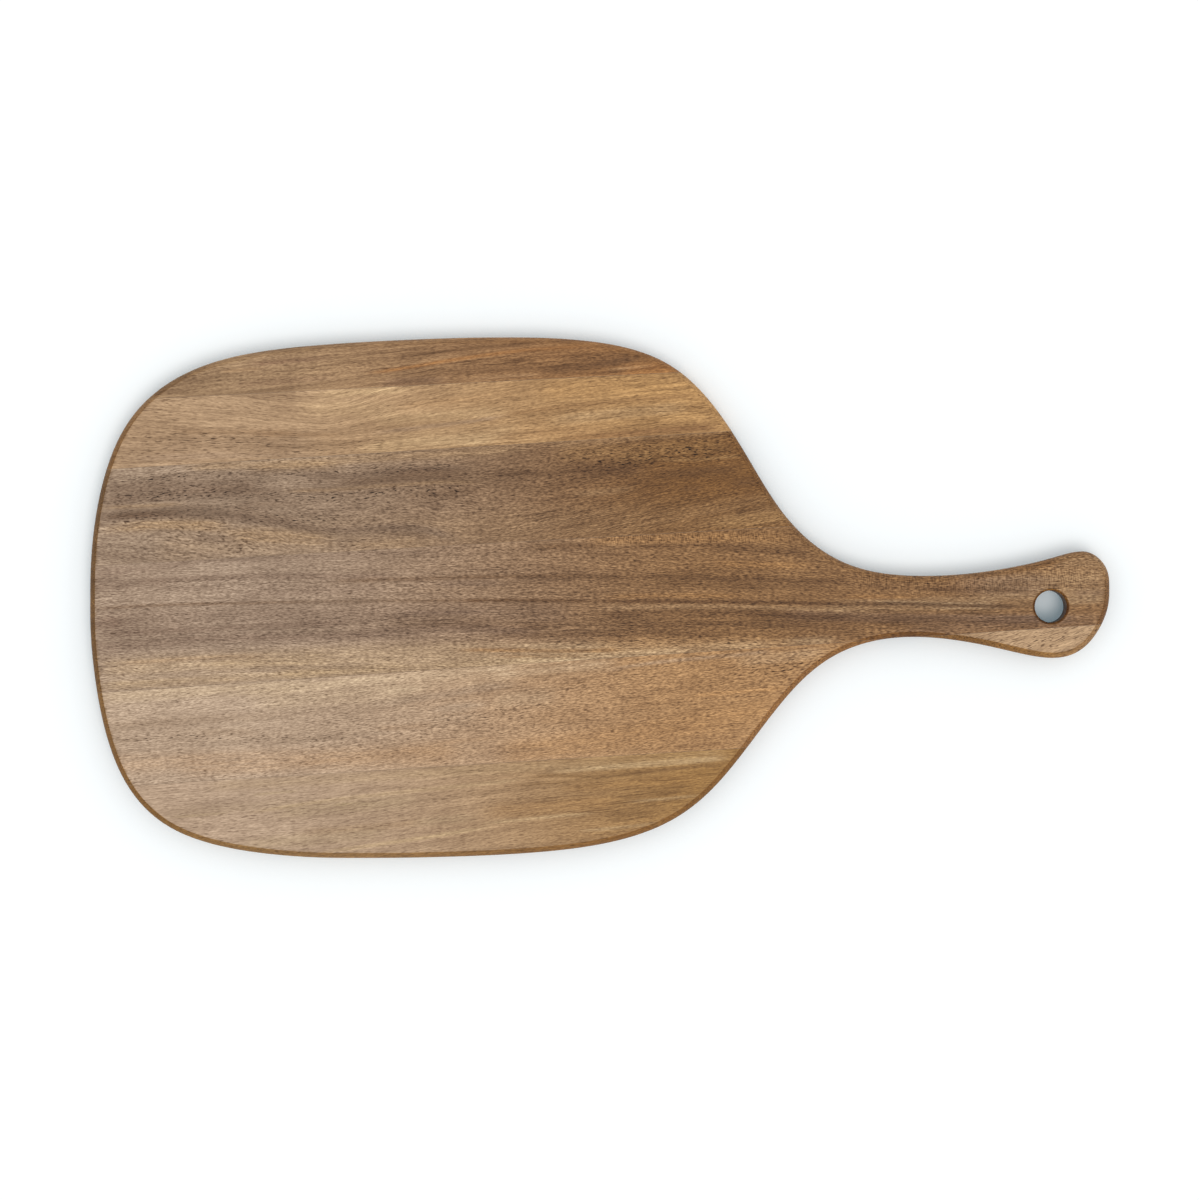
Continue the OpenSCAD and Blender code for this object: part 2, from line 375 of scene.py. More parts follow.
FIGURED_TIMBER = Timber(
    grain=(
        ((-250, 38), (-222, 33), (-190, 28), (-150, 24), (-100, 22), (-60, 24), (0, 30), (60, 39),
         (105, 46)),
        ((-245, 55), (-220, 55), (-197, 53), (-182, 51.5), (-170, 49.4), (-155, 46), (-140, 42.7),
         (-125, 40.7), (-107, 40.7), (-90, 40), (-80, 37.6), (-70, 36), (-55, 35.4), (-20, 39), (40, 48),
         (95, 55)),
        ((-245, 60.5), (-182, 61.5), (-155, 62.2), (-130, 61.5), (-100, 62), (-70, 61.8), (-57, 60),
         (0, 61), (70, 64)),
        ((-242, 70), (-220, 71), (-195, 72.6), (-175, 72), (-150, 71), (-130, 69), (-110, 68),
         (-90, 69.5), (-57, 69), (0, 71.5), (70, 74)),
    ),
    crests=(),
    bands={
        "heart": (
            (0.35, 2.0, (-110, 68.4), (-80, 68), (-54, 66.6)),
            (0.4, 2.0, (-134, 64.6), (-95, 65), (-58, 63.6)),
            (0.3, 1.7, (-104, 55.6), (-80, 56.6), (-46, 57)),
            (0.4, 2.2, (-248, 56.6), (-220, 57), (-195, 57), (-176, 54.4), (-158, 50.4), (-140, 47)),
            (0.4, 1.4, (-250, 55.2), (-224, 55.2), (-200, 54.4)),
            (0.3, 1.8, (-60, 64.4), (-30, 64), (-6, 64)),
            (0.7, 4.4, (-16, 63), (8, 63.6), (30, 63)),
            (0.45, 2.6, (26, 59.6), (50, 59.6), (78, 60.4)),
            (0.45, 1.4, (42, 51.6), (56, 51.4)),
            (0.5, 1.8, (66, 52.4), (78, 53), (90, 52)),
            (0.18, 8.0, (-184, 60), (-120, 63), (-60, 64), (0, 62)),
            (0.24, 4.4, (-156, 48.5), (-110, 49.5), (-70, 50)),
            (0.2, 3.0, (-106, 44), (-82, 43), (-62, 41)),
            (0.25, 2.4, (-185, 57.5), (-160, 56), (-140, 54)),
        ),
        "mauve": (
            (0.85, 3.4, (-252, 68.4), (-210, 68.8), (-184, 68), (-160, 67)),
            (0.5, 1.4, (-232, 72.4), (-200, 73.6), (-175, 72.4), (-150, 71), (-134, 69)),
            (0.8, 1.5, (-148, 69.6), (-120, 68.4), (-100, 69.3), (-80, 69.4), (-56, 68)),
            (0.85, 2.6, (-252, 62.8), (-200, 63.4), (-172, 62.4), (-146, 60)),
            (0.95, 2.5, (-254, 54.6), (-220, 54.4), (-200, 53.6), (-185, 52.2), (-172, 50), (-158, 47),
             (-146, 44), (-135, 41.8), (-120, 41), (-104, 41), (-90, 40), (-80, 37.6), (-72, 34.6),
             (-65, 31.4)),
            (0.5, 3.2, (-206, 41.4), (-188, 40), (-172, 37)),
            (0.6, 2.2, (-250, 37), (-234, 35), (-216, 32)),
        ),
        "gold": (
            (0.4, 4.0, (-22, 72.4), (10, 72.2), (40, 71.4), (76, 71)),
            (0.65, 0.8, (24, 67.8), (50, 66), (80, 66.4)),
            (0.5, 3.0, (52, 33), (80, 34), (106, 37)),
            (0.35, 2.4, (8, 68.4), (22, 68), (34, 67.6)),
        ),
        "pale": (
            (0.55, 2.4, (-208, 78.2), (-150, 76.2), (-100, 76.6), (-60, 76.4), (-26, 77)),
            (0.4, 2.2, (-176, 74.4), (-140, 73.8), (-120, 73)),
            (0.55, 1.0, (-250, 60), (-225, 59.6), (-200, 59.6)),
            (0.6, 0.9, (-158, 62.7), (-130, 61.9), (-100, 62.3), (-70, 62), (-52, 60.6)),
            (0.45, 2.6, (-252, 49), (-215, 49.4), (-180, 46.6)),
            (0.5, 4.0, (-190, 43.6), (-160, 41), (-126, 37.4)),
            (0.3, 2.6, (-128, 34), (-100, 33.4), (-78, 31.6)),
            (0.27, 2.4, (-30, 77.4), (20, 78), (76, 78.6)),
            (0.3, 1.6, (-14, 52.4), (8, 52.6), (24, 54)),
            (0.22, 9.0, (-226, 37), (-150, 38), (-60, 37), (40, 37), (110, 39)),
            (0.35, 3.6, (-240, 49.5), (-206, 50), (-176, 46)),
        ),
        "pores": (
            (1.0, 2.4, (-244, 72.6), (-205, 74), (-178, 73.2), (-140, 71), (-60, 70.4)),
            (1.0, 2.6, (-246, 63.4), (-200, 64), (-168, 61.6), (-140, 58.6), (-100, 59), (-50, 58.6)),
            (1.0, 3.4, (-250, 56.4), (-195, 55.6), (-158, 49), (-120, 46)),
            (1.0, 6.0, (-14, 68), (30, 70), (76, 73)),
        ),
        "curl": (
            (1.0, 7.0, (-40, 71), (10, 71), (80, 74)),
            (0.6, 5.0, (-190, 56), (-120, 52), (-40, 50)),
        ),
        "lines": (
            (1.0, 10.0, (-40, 40), (30, 41), (100, 44)),
            (0.6, 4.0, (-70, 64), (-10, 63), (70, 64)),
        ),
    },
    lean=0.45, streaks=0.55, grit=1.25, specks=1.1, dash=2.8,
)

HANDLE_TIMBER = Timber(
    grain=(
        ((-251, 0), (-175, -2.2), (-107, -6.1), (-38, -9.6), (31, -13), (100, -18.3), (169, -22.7),
         (238, -26.2)),
        ((-251, 10), (-210, 9.5), (-175, 8), (-134, 6), (-86, 3.6), (-38, 1.3), (-3, -0.9), (31, -3.5),
         (65, -6.3), (100, -9.2), (134, -12.2), (168, -14.9), (203, -16.6), (250, -18.6)),
        ((-251, 22.6), (-175, 20.9), (-113, 18.2), (-72, 14.8), (-17, 12.1), (31, 7.8), (83, 2.6),
         (134, -3.5), (186, -7.9), (250, -11)),
        ((-251, 31), (-134, 29.6), (-38, 28.7), (14, 23.5), (65, 18.2), (107, 13.9), (160, 8), (250, 2)),
    ),
    crests=(),
    bands={
        "heart": (
            (0.6, 0.9, (-258, 9.9), (-210, 9.4), (-175, 8.1), (-128, 5.9), (-104, 4.8), (-80, 3.4),
             (-60, 2.3), (-25, 0), (0, -1.8)),
            (0.7, 0.9, (-72, 3), (-60, 2.3), (-25, 0), (0, -1.8), (25, -3.3), (50, -5.1)),
            (1.25, 0.9, (0, -1.8), (25, -3.3), (50, -5.1), (75, -6.9), (100, -8.8), (128, -11),
             (150, -12.2), (175, -14.5), (216, -17.8)),
            (0.6, 1.2, (-140, 16), (-112, 15.6), (-86, 14.8), (-70, 14.4), (-40, 13), (-20, 12),
             (0, 10.5), (20, 9), (45, 7.4), (70, 5), (90, 3.5), (130, 0.6)),
            (0.35, 3.0, (-112, -5.8), (-80, -8), (-50, -10.4), (-24, -13)),
            (0.5, 1.6, (-60, -15), (-30, -17), (4, -18), (40, -20.6), (70, -22.8)),
            (0.25, 2.0, (-44, 28), (-16, 27), (10, 26)),
            (0.4, 1.4, (-40, 26.2), (-14, 26.6), (14, 24.8)),
            (0.55, 0.9, (10, 25), (40, 23.4), (64, 22.6), (80, 21)),
            (0.6, 1.8, (50, 21.4), (80, 19), (100, 16.4), (114, 13.2)),
            (0.5, 1.8, (-10, -8.4), (34, -8.8), (70, -11.2), (95, -14.2), (128, -17.5)),
            (0.55, 1.6, (0, -15), (30, -15.6), (60, -17), (100, -20), (130, -23)),
            (0.5, 2.2, (70, -14.4), (100, -16.8), (128, -18.6), (164, -21.4), (200, -24), (236, -26.4)),
            (0.45, 1.2, (116, 0.4), (150, -4), (180, -6.4), (216, -9.4)),
            (0.5, 1.0, (156, -5.4), (184, -7.4)),
            (0.4, 1.0, (190, -8.4), (204, -9), (218, -10)),
            (0.14, 3.0, (-130, 20.6), (-80, 20.4), (-30, 20)),
            (0.2, 2.4, (-110, 8.6), (-60, 8), (0, 7.4), (24, 6)),
            (0.25, 2.8, (14, 4), (40, 4), (70, 3), (100, 0), (130, -1.6)),
            (0.3, 2.2, (-44, -12), (-10, -12), (44, -12), (80, -12.6), (106, -13)),
            (0.2, 2.0, (60, -24), (76, -24.4), (92, -25)),
            (0.2, 2.2, (20, 20.4), (45, 19.6), (66, 18.6)),
            (0.25, 2.0, (60, 0.4), (95, 0.2), (125, -0.6)),
            (0.2, 1.8, (0, 24.4), (26, 24), (48, 23.4)),
        ),
        "mauve": (
            (0.4, 1.2, (-220, 31), (-170, 29.7), (-128, 29), (-76, 27.4)),
            (0.6, 1.5, (-240, 22.6), (-190, 21.6), (-160, 20.5), (-128, 18.4), (-96, 17.2)),
            (0.5, 0.9, (-222, 17.6), (-190, 17.4)),
            (0.45, 1.8, (-88, 12.4), (-66, 11.2), (-42, 10)),
            (0.42, 5.0, (-258, 3.4), (-190, 2), (-128, -1), (-60, -4), (-10, -7)),
            (0.6, 1.7, (-258, -3.4), (-200, -3.8), (-150, -4.8), (-120, -5.6)),
            (0.6, 2.6, (-258, -9.6), (-230, -9.4), (-200, -8.6), (-160, -9.6), (-128, -10.9),
             (-100, -10.8), (-80, -10.8), (-60, -12), (-45, -14), (-26, -15.4)),
            (0.5, 1.0, (-112, -1.6), (-80, -2.6), (-50, -4)),
            (0.45, 7.0, (-262, 25), (-250, 25), (-232, 24)),
            (0.15, 6.0, (-262, -19), (-250, -19), (-230, -20)),
            (0.5, 3.0, (-262, 2), (-250, 2), (-234, 2)),
            (0.6, 2.4, (84, -13.4), (128, -17.5), (160, -20), (200, -22.6), (240, -25)),
            (0.35, 3.4, (146, -24.6), (190, -26), (256, -26)),
            (0.45, 5.0, (170, -4), (200, -6), (232, -8)),
            (0.3, 1.6, (232, -12), (244, -12.6), (256, -13)),
            (0.4, 2.2, (-244, 28.4), (-222, 28.4), (-196, 28.4)),
            (0.4, 2.0, (-244, 20), (-226, 20), (-208, 20)),
            (0.35, 2.4, (-186, 12), (-140, 12), (-100, 11)),
        ),
        "gold": (
            (0.2, 1.2, (-246, -18.4), (-200, -18), (-160, -19.4)),
            (0.75, 0.9, (-76, -21.4), (-50, -23.2), (-20, -25.4), (14, -27)),
            (0.4, 0.7, (-60, -25.6), (-30, -27.4), (0, -29)),
            (0.35, 3.0, (-10, 28.8), (20, 28.4), (50, 27.2), (76, 26), (104, 24)),
            (0.4, 2.0, (52, 14.4), (80, 11.6), (110, 9.6)),
            (0.5, 1.0, (-2, 0.6), (40, -1.4), (76, -3.6)),
            (0.35, 5.0, (-10, -24), (40, -26), (100, -29)),
            (0.6, 1.0, (116, -7), (140, -8), (164, -9.6)),
        ),
        "pale": (
            (0.5, 5.4, (-258, -20), (-175, -20.6), (-128, -21.4), (-80, -23), (-38, -26), (-6, -27.6)),
            (0.6, 2.4, (-258, -29), (-128, -29.4), (-60, -29.6), (-4, -29.4), (52, -29)),
            (0.2, 1.6, (-6, -4.6), (50, -7.6), (90, -10.6), (128, -13)),
            (0.4, 4.6, (-20, -25.6), (40, -27.6), (64, -29), (90, -31)),
            (0.55, 0.9, (134, -10.4), (160, -12.8), (200, -15.4)),
            (0.3, 0.9, (160, -15), (186, -16.2), (212, -17.4)),
            (0.35, 1.8, (226, -16), (240, -16), (254, -16)),
            (0.28, 8.0, (182, -9), (212, -9), (262, -8)),
            (0.25, 4.0, (222, 4), (240, 4), (262, 3)),
            (0.28, 3.4, (108, -11.6), (136, -12.4), (170, -13.4), (204, -15)),
            (0.22, 4.0, (-206, -22), (-165, -22.4), (-130, -23)),
            (0.4, 2.4, (-168, -28), (-130, -28), (-92, -28.4)),
            (0.3, 4.0, (-48, -25.6), (-16, -26), (22, -27)),
            (0.35, 2.4, (40, -28.4), (80, -28.4), (122, -27.6)),
        ),
        "pores": (
            (0.7, 6.0, (-40, -18), (40, -22), (100, -26)),
        ),
        "fleck": (
            (1.0, 3.4, (-10, 28.8), (20, 28.4), (50, 27), (76, 26), (104, 23)),
            (0.8, 7.0, (120, 1), (200, -4), (256, -4)),
        ),
        "curl": (
            (0.7, 4.0, (-196, -8), (-150, -9), (-100, -10)),
        ),
        "lines": (
            (1.0, 7.0, (-112, -7), (-50, -10), (0, -12.6), (60, -15), (128, -19), (230, -22)),
            (0.6, 6.0, (-256, -4), (-180, -6), (-100, -8)),
            (0.7, 5.0, (-100, 16), (-40, 13), (40, 8), (120, 4)),
        ),
    },
    lean=0.1, streaks=0.55, grit=1.1, specks=1.25, dash=3.4,
)

LOWER_TIMBER = Timber(
    grain=(
        ((-250, -82), (-150, -79), (18, -69.4), (44, -67.3), (76, -66.6), (110, -65)),
        ((-250, -66), (-150, -62), (13, -55.5), (87, -53.4), (130, -51)),
        ((-247, -49.9), (-194, -48.5), (-168, -47), (-125, -44.3), (-93, -42.2), (-54, -39.4),
         (-24, -37.4), (18, -33.9), (80, -29)),
    ),
    crests=(),
    bands={
        "heart": (
            (0.3, 1.4, (-120, -58), (-100, -58.6), (-82, -58)),
            (0.3, 1.2, (-92, -67.4), (-70, -66.8), (-48, -66)),
            (0.45, 1.0, (8, -77.4), (40, -76.6), (68, -76)),
            (0.5, 0.8, (-46, -38.2), (-10, -36.4), (6, -36)),
            (0.4, 0.7, (-28, -43), (-4, -41.4)),
            (0.3, 3.4, (50, -41.4), (76, -41.4), (104, -41)),
            (0.35, 3.2, (28, -47.6), (50, -47), (74, -46.6)),
            (0.55, 0.7, (4, -56.4), (20, -54.4), (46, -53.2)),
            (0.35, 0.8, (10, -61), (30, -60), (60, -59.6)),
            (0.5, 0.8, (14, -69.8), (44, -67.4), (80, -66.8)),
            (0.3, 4.4, (-44, -60), (-24, -58.4), (2, -57)),
            (0.16, 4.0, (-160, -72), (-90, -72.4), (-10, -74.4), (70, -73)),
        ),
        "mauve": (
            (0.5, 1.6, (-208, -54.6), (-190, -55.6), (-170, -56.6)),
            (0.65, 2.2, (-256, -49.6), (-200, -48.6), (-150, -48.4), (-110, -46), (-70, -42.4),
             (-40, -39.8)),
            (0.4, 6.4, (-170, -57), (-110, -55), (-56, -51.6)),
            (0.6, 1.4, (-170, -61.4), (-140, -61.4), (-100, -60.4)),
            (0.5, 0.9, (-250, -57), (-228, -56.4)),
            (0.4, 1.8, (-90, -50.6), (-72, -49.8), (-54, -49)),
            (0.6, 1.0, (-4, -37.2), (20, -34.4), (60, -32.8), (90, -31.4)),
            (0.45, 5.0, (-232, -56), (-200, -57.5), (-150, -61)),
        ),
        "gold": (
            (0.2, 5.0, (-256, -67.6), (-234, -68.4), (-204, -69)),
            (0.75, 0.9, (36, -51.8), (64, -51.2), (98, -50.6)),
            (0.4, 6.0, (-60, -75), (-10, -72), (40, -66), (94, -58)),
            (0.3, 6.0, (-220, -70), (-140, -72), (-70, -73)),
        ),
        "pale": (
            (0.55, 2.8, (-258, -35), (-150, -34.6), (-90, -33.6), (-40, -31.4)),
            (0.35, 0.8, (-190, -37.6), (-141, -34.2), (-105, -31.8)),
            (0.25, 3.0, (-186, -38.4), (-110, -38), (-80, -38), (-40, -37.4)),
            (0.45, 1.0, (-112, -41), (-90, -39.6)),
            (0.3, 4.2, (-60, -48), (-40, -47.6), (-20, -47)),
            (0.4, 3.0, (-258, -32), (-200, -32), (-140, -32.4)),
            (0.45, 4.6, (-180, -41.6), (-130, -41.4), (-84, -41)),
            (0.4, 3.4, (-62, -34), (-30, -34), (12, -33)),
            (0.3, 3.0, (60, -35.4), (90, -35), (116, -33)),
        ),
        "pores": (
            (0.9, 2.4, (-250, -56.4), (-210, -57), (-172, -60), (-130, -61)),
            (0.6, 6.0, (-140, -56), (-80, -56), (-30, -56)),
            (1.0, 4.6, (48, -40), (80, -40), (110, -37)),
        ),
        "lines": (
            (0.8, 4.0, (-60, -44), (-20, -43), (10, -42)),
            (0.5, 9.0, (0, -60), (50, -58), (90, -56)),
        ),
    },
    lean=0.5, streaks=0.28, grit=1.05, specks=0.95, dash=3.0,
)

BOTTOM_EDGE_TIMBER = Timber(
    grain=(
        ((-235, -126), (-147, -118), (-124, -116.3), (-91, -113), (-64, -110.5), (-2, -105.6),
         (39, -102.3), (90, -98)),
        ((-235, -98), (-153, -94.5), (-115, -91.6), (-80, -90), (-44, -87.9), (10, -87.4), (59, -86.4)),
    ),
    crests=(),
    bands={
        "heart": (
            (0.75, 0.8, (-46, -88), (-30, -87), (-13, -88.6), (5, -89), (20, -88), (40, -87), (64, -87)),
            (0.5, 0.7, (-56, -91.2), (-20, -90.6), (8, -90)),
            (0.3, 2.0, (-164, -107.4), (-125, -107.2), (-90, -106)),
            (0.35, 1.2, (-58, -106), (-40, -105.8), (-22, -105.4)),
            (0.35, 3.0, (-6, -109), (30, -107)),
            (0.4, 2.0, (0, -99.4), (24, -98.4), (44, -98)),
            (0.22, 2.2, (-4, -88.6), (20, -88.2), (46, -87.6)),
        ),
        "mauve": (
            (0.6, 0.7, (-182, -87.6), (-152, -86.8)),
            (0.6, 0.7, (-224, -96.4), (-188, -95.8)),
            (0.5, 3.6, (-174, -97.4), (-130, -96), (-92, -95)),
            (0.5, 0.8, (-140, -95), (-116, -95.2)),
            (0.25, 2.4, (-228, -94), (-190, -93.4), (-150, -92.4)),
            (0.45, 3.6, (-192, -112.6), (-150, -111.4), (-108, -110)),
            (0.35, 2.2, (-106, -106.4), (-86, -106), (-64, -105.6)),
        ),
        "gold": (
            (0.3, 2.4, (-30, -93.4), (10, -93.2), (50, -92.6)),
            (0.3, 4.0, (-70, -103), (-30, -102), (10, -103)),
        ),
        "pale": (
            (0.5, 0.9, (-186, -97), (-150, -93.4), (-115, -91.2), (-80, -89.8), (-40, -87.8)),
            (0.65, 0.9, (-150, -118.6), (-122, -116.4), (-90, -113.6), (-58, -110.2)),
            (0.5, 1.4, (-36, -84.6), (10, -84.6), (64, -84)),
            (0.5, 0.7, (4, -102.4), (24, -102.2), (48, -101.4)),
            (0.55, 0.8, (-70, -109.1), (-40, -107.8), (-4, -107)),
            (0.5, 0.7, (-22, -115.6), (4, -115), (30, -113.4)),
            (0.3, 2.6, (-206, -82), (-100, -82), (0, -82), (66, -81.4)),
        ),
        "lines": (
            (0.8, 9.0, (-50, -98), (0, -97), (56, -94)),
            (0.6, 8.0, (-40, -112), (30, -108)),
        ),
    },
    lean=0.5, streaks=0.5, grit=0.8, specks=0.55, dash=4.2,
)

TIP_TIMBER = Timber(
    grain=(
        ((150, -60), (256, -33)),
        ((150, -50), (256, -23)),
    ),
    crests=(),
    bands={
        "heart": (
            (0.7, 5.0, (130, -31), (170, -31.6), (198, -32)),
        ),
        "pores": (
            (0.8, 12.0, (150, -34), (256, -28)),
        ),
    },
    lean=0.5, streaks=0.4, grit=1.15, specks=0.4, dash=3.4,
)

# Channels of the two colour attributes that the bands fill
TINTS = ("heart", "mauve", "gold", "pale")
FIGURES = ("pores", "fleck", "curl", "lines")

# Share of a band's length over which each of its ends fades, and the longest such fade in millimetres
FADE_SHARE = 0.3
FADE_LONGEST = 16

# How fast the eased edges take on the full painted shade of the rim
RIM_SHADE_POWER = 0.03

# Painted shade: the rim is painted lightest where it faces this way, towards the light, and its end grain
# stays light near there
LIGHT_RIM_FACING = math.radians(47)
END_GRAIN_ONSET = 6.0


def control_points(sizes):
    """Control points of the closed outline, and the lowest place of the neck.

    They run from the far end over the upper side to the tip, and back underneath. A control point
    that makes the curve pass through a place is (6 place - the one before - the one after) / 4.
    """
    blade_l = sizes.board_l - sizes.grip_l
    far = np.array([-sizes.board_l / 2, 0])
    neck = np.array([far[0] + blade_l, -sizes.handle_offset])

    def blade_points(shares):
        return far + np.array(shares) * [blade_l, sizes.board_w / 2]

    def neck_points(shares):
        return neck + np.array(shares) * [sizes.grip_l, sizes.neck_w / 2]

    def grip_points(shares):
        return neck + np.array(shares) * [sizes.grip_l, sizes.grip_end_w / 2]

    def through(place, before, after):
        return (6 * place - before - after) / 4

    root_upper = neck_points(ROOT_UPPER_SHARES)
    root_lower = neck_points(ROOT_LOWER_SHARES)
    flare_upper = grip_points(FLARE_UPPER_SHARES)
    flare_lower = grip_points(FLARE_LOWER_SHARES)
    end_upper = grip_points(END_UPPER_SHARES)
    end_lower = grip_points(END_LOWER_SHARES)
    neck_lower_place = neck_points(NECK_LOWER_SHARES)
    upper_chain = np.vstack([
        blade_points(BLADE_UPPER_SHARES),
        root_upper,
        through(neck_points(NECK_UPPER_SHARES), root_upper, flare_upper[0]),
        flare_upper,
        through(grip_points(WIDEST_UPPER_SHARES), flare_upper[1], end_upper),
        end_upper,
    ])
    lower_chain = np.vstack([
        blade_points(BLADE_LOWER_SHARES),
        root_lower,
        through(neck_lower_place, root_lower, flare_lower[0]),
        flare_lower,
        through(grip_points(WIDEST_LOWER_SHARES), flare_lower[0], end_lower[0]),
        end_lower,
    ])
    control = np.vstack([
        blade_points(FAR_END_SHARES), upper_chain, grip_points(END_TIP_SHARES), lower_chain[::-1]
    ])
    return control, neck_lower_place


def edge_profile(thick, ease, softness):
    """Levels of an eased edge from the underside to the top: inset, height, and the share of the rim's
    painted shade.

    Over a quarter turn a, the inset is ease (1 - cos(a) ^ softness) and the drop from the face is
    ease (1 - sin(a) ^ softness): a quarter round at softness 1, a flat chamfer at 2.
    """
    turn = np.linspace(0, math.pi / 2, EDGE_STEPS + 1)
    cos = np.cos(turn).clip(0)
    inset = ease * (1 - cos ** softness)
    drop = ease * (1 - np.sin(turn) ** softness)
    tone = cos ** RIM_SHADE_POWER
    under = np.stack([inset, drop, tone], axis=1)[::-1]
    over = np.stack([inset, thick - drop, tone], axis=1)
    return np.vstack([under, over])


class Joint(NamedTuple):
    """A straight joint: its place across the staves at the middle of the board, and its rise for each
    unit along them."""

    place: float
    slope: float

    def height(self, along):
        """Its place across the staves at a place along them."""
        return self.place + self.slope * along

    def moved(self, shift):
        """The same joint, moved across the staves."""
        return Joint(self.place + shift, self.slope)


class Board:
    """Shape of the board, in metres. Places in the stave frame lie along and across the staves."""

    def __init__(self, sizes):
        self.thick = sizes.board_t
        self.glue = sizes.glue_t
        self.tilt = sizes.stave_tilt
        self.control, neck_lower_place = control_points(sizes)
        self.spans = len(self.control)
        self.rim = edge_profile(sizes.board_t, sizes.edge_r, sizes.rim_softness)
        self.hole_rim = edge_profile(sizes.board_t, sizes.hole_edge, 1)
        self.hole_r = sizes.hole_d / 2
        hole = np.array([sizes.board_l / 2 - sizes.hole_inset, -sizes.handle_offset])
        self.hole = self.to_stave(hole)
        half_w = sizes.board_w / 2
        neck_along, neck_across = self.to_stave(neck_lower_place)
        slope = math.tan(HANDLE_JOINT_TURN)
        place = neck_across - sizes.neck_cut * math.cos(self.tilt) - neck_along * slope
        self.handle_lower_joint = Joint(place, slope)
        self.handle_upper_joint, self.pale_joint, self.upper_joint = (
            Joint(place + share * (half_w - place), math.tan(turn))
            for share, turn in zip(UPPER_JOINT_SHARES, UPPER_JOINT_TURNS)
        )
        bottom_place = place - LOWER_JOINT_SHARE * (half_w + place)
        self.bottom_joint = Joint(bottom_place, math.tan(BOTTOM_JOINT_TURN))

    def to_stave(self, place):
        """A place of the board, turned into the stave frame."""
        cos, sin = math.cos(self.tilt), math.sin(self.tilt)
        x, y = place[..., 0], place[..., 1]
        return np.stack([x * cos + y * sin, y * cos - x * sin], axis=-1)

    def to_board(self, along, across):
        """A place of the stave frame, turned back into the board's x and y."""
        cos, sin = math.cos(self.tilt), math.sin(self.tilt)
        return along * cos - across * sin, along * sin + across * cos

    def ring(self, u, inset):
        """Places of the drawn-in outline in the stave frame, the painted shade of its rim, and how dark its
        end grain is.

        The outline is a closed cubic B-spline: at share t of a span, four control points weigh
        (1-t)^3, 3t^3-6t^2+4, -3t^3+3t^2+3t+1 and t^3, over 6. Its slope, turned a quarter to the
        right, points into the board, and the place moves that way by the inset. The rim's painted
        shade is (1 - the cosine between its facing and the facing the light falls on most) / 2, and
        the darkening of its end grain fades out by that painted shade on the lit side.
        """
        span = np.floor(u).astype(int)
        t = (u - span)[:, None]
        a, b, c, d = (self.control[(span + k) % self.spans] for k in (-1, 0, 1, 2))
        place = ((1 - t) ** 3 * a + (3 * t ** 3 - 6 * t ** 2 + 4) * b
                 + (-3 * t ** 3 + 3 * t ** 2 + 3 * t + 1) * c + t ** 3 * d) / 6
        way = (-(1 - t) ** 2 * a + (3 * t ** 2 - 4 * t) * b
               + (-3 * t ** 2 + 2 * t + 1) * c + t ** 2 * d) / 2
        inward = np.stack([way[:, 1], -way[:, 0]], axis=1) / np.linalg.norm(way, axis=1)[:, None]
        light_way = np.array([math.cos(LIGHT_RIM_FACING), math.sin(LIGHT_RIM_FACING)])
        # Painted shade on the rim by its facing, and end grain faded by it on the lit side
        dark = (1 + inward @ light_way[:, None]) / 2
        end_grain_and_shade = np.abs(self.to_stave(inward)[:, :1]) * np.minimum(1, END_GRAIN_ONSET * dark)
        return np.hstack([self.to_stave(place + inset * inward), dark, end_grain_and_shade])

    def crossings(self, inset, miss_of):
        """Parameters, in order along the staves, where a measure of the drawn-in outline is zero."""
        u = np.linspace(0, self.spans, self.spans * SPAN_PLACES + 1)
        places = self.ring(u, inset)
        miss = miss_of(places[:, 0], places[:, 1])
        i = np.nonzero(miss[:-1] * miss[1:] < 0)[0]
        found = u[i] + (u[i + 1] - u[i]) * miss[i] / (miss[i] - miss[i + 1])
        return found[np.argsort(places[i, 0])]

    def joint_crossings(self, inset, joint):
        """Parameters where the drawn-in outline crosses a joint."""
        return self.crossings(inset, lambda along, across: across - joint.height(along))

    def joint_ends(self, inset, joint, part=0):
        """Parameters of the left and right end of a joint: part 0 in the blade, 1 in the grip."""
        return self.joint_crossings(inset, joint)[2 * part:2 * part + 2]

    def rim_run(self, inset, start, end, steps):
        """Places evenly spaced on the drawn-in outline, from one parameter to another the shorter way."""
        turn = (end - start + self.spans / 2) % self.spans - self.spans / 2
        share = np.linspace(0, 1, RUN_PLACES_A_STEP * steps + RUN_PLACES)
        run = self.ring(start + turn * share, inset)
        travelled = np.append(0, np.cumsum(np.linalg.norm(np.diff(run[:, :2], axis=0), axis=1)))
        even = np.linspace(0, travelled[-1], steps + 1)
        return np.stack([np.interp(even, travelled, column) for column in run.T], axis=1)


def straight(start, end, steps):
    """Places evenly spaced on a straight joint, which takes the rim's painted shade and end grain only where
    it ends on the rim.
    """
    share = np.linspace(0, 1, steps + 1)[:, None]
    places = (1 - share) * start + share * end
    places[1:-1, 2:] = 0
    return places


def filled(south, east, north, west):
    """Grid of places between four sides, given left to right and south to north.

    Coons patch: the blend of south and north, plus the blend of west and east, less the blend of
    the four corners.
    """
    u = np.linspace(0, 1, len(south))[None, :, None]
    v = np.linspace(0, 1, len(west))[:, None, None]
    low_corners = (1 - u) * south[0] + u * south[-1]
    high_corners = (1 - u) * north[0] + u * north[-1]
    corners = (1 - v) * low_corners + v * high_corners
    return (1 - v) * south + v * north + (1 - u) * west[:, None] + u * east[:, None] - corners


def closed_loop(south, east, north, west):
    """The four sides of a piece as one loop, each corner once."""
    return np.vstack([south[:-1], east[:-1], north[:0:-1], west[:0:-1]])


def steps_between(start, end, step):
    """Number of grid steps on the way between two places."""
    return max(1, round(float(np.linalg.norm(end[:2] - start[:2])) / step))


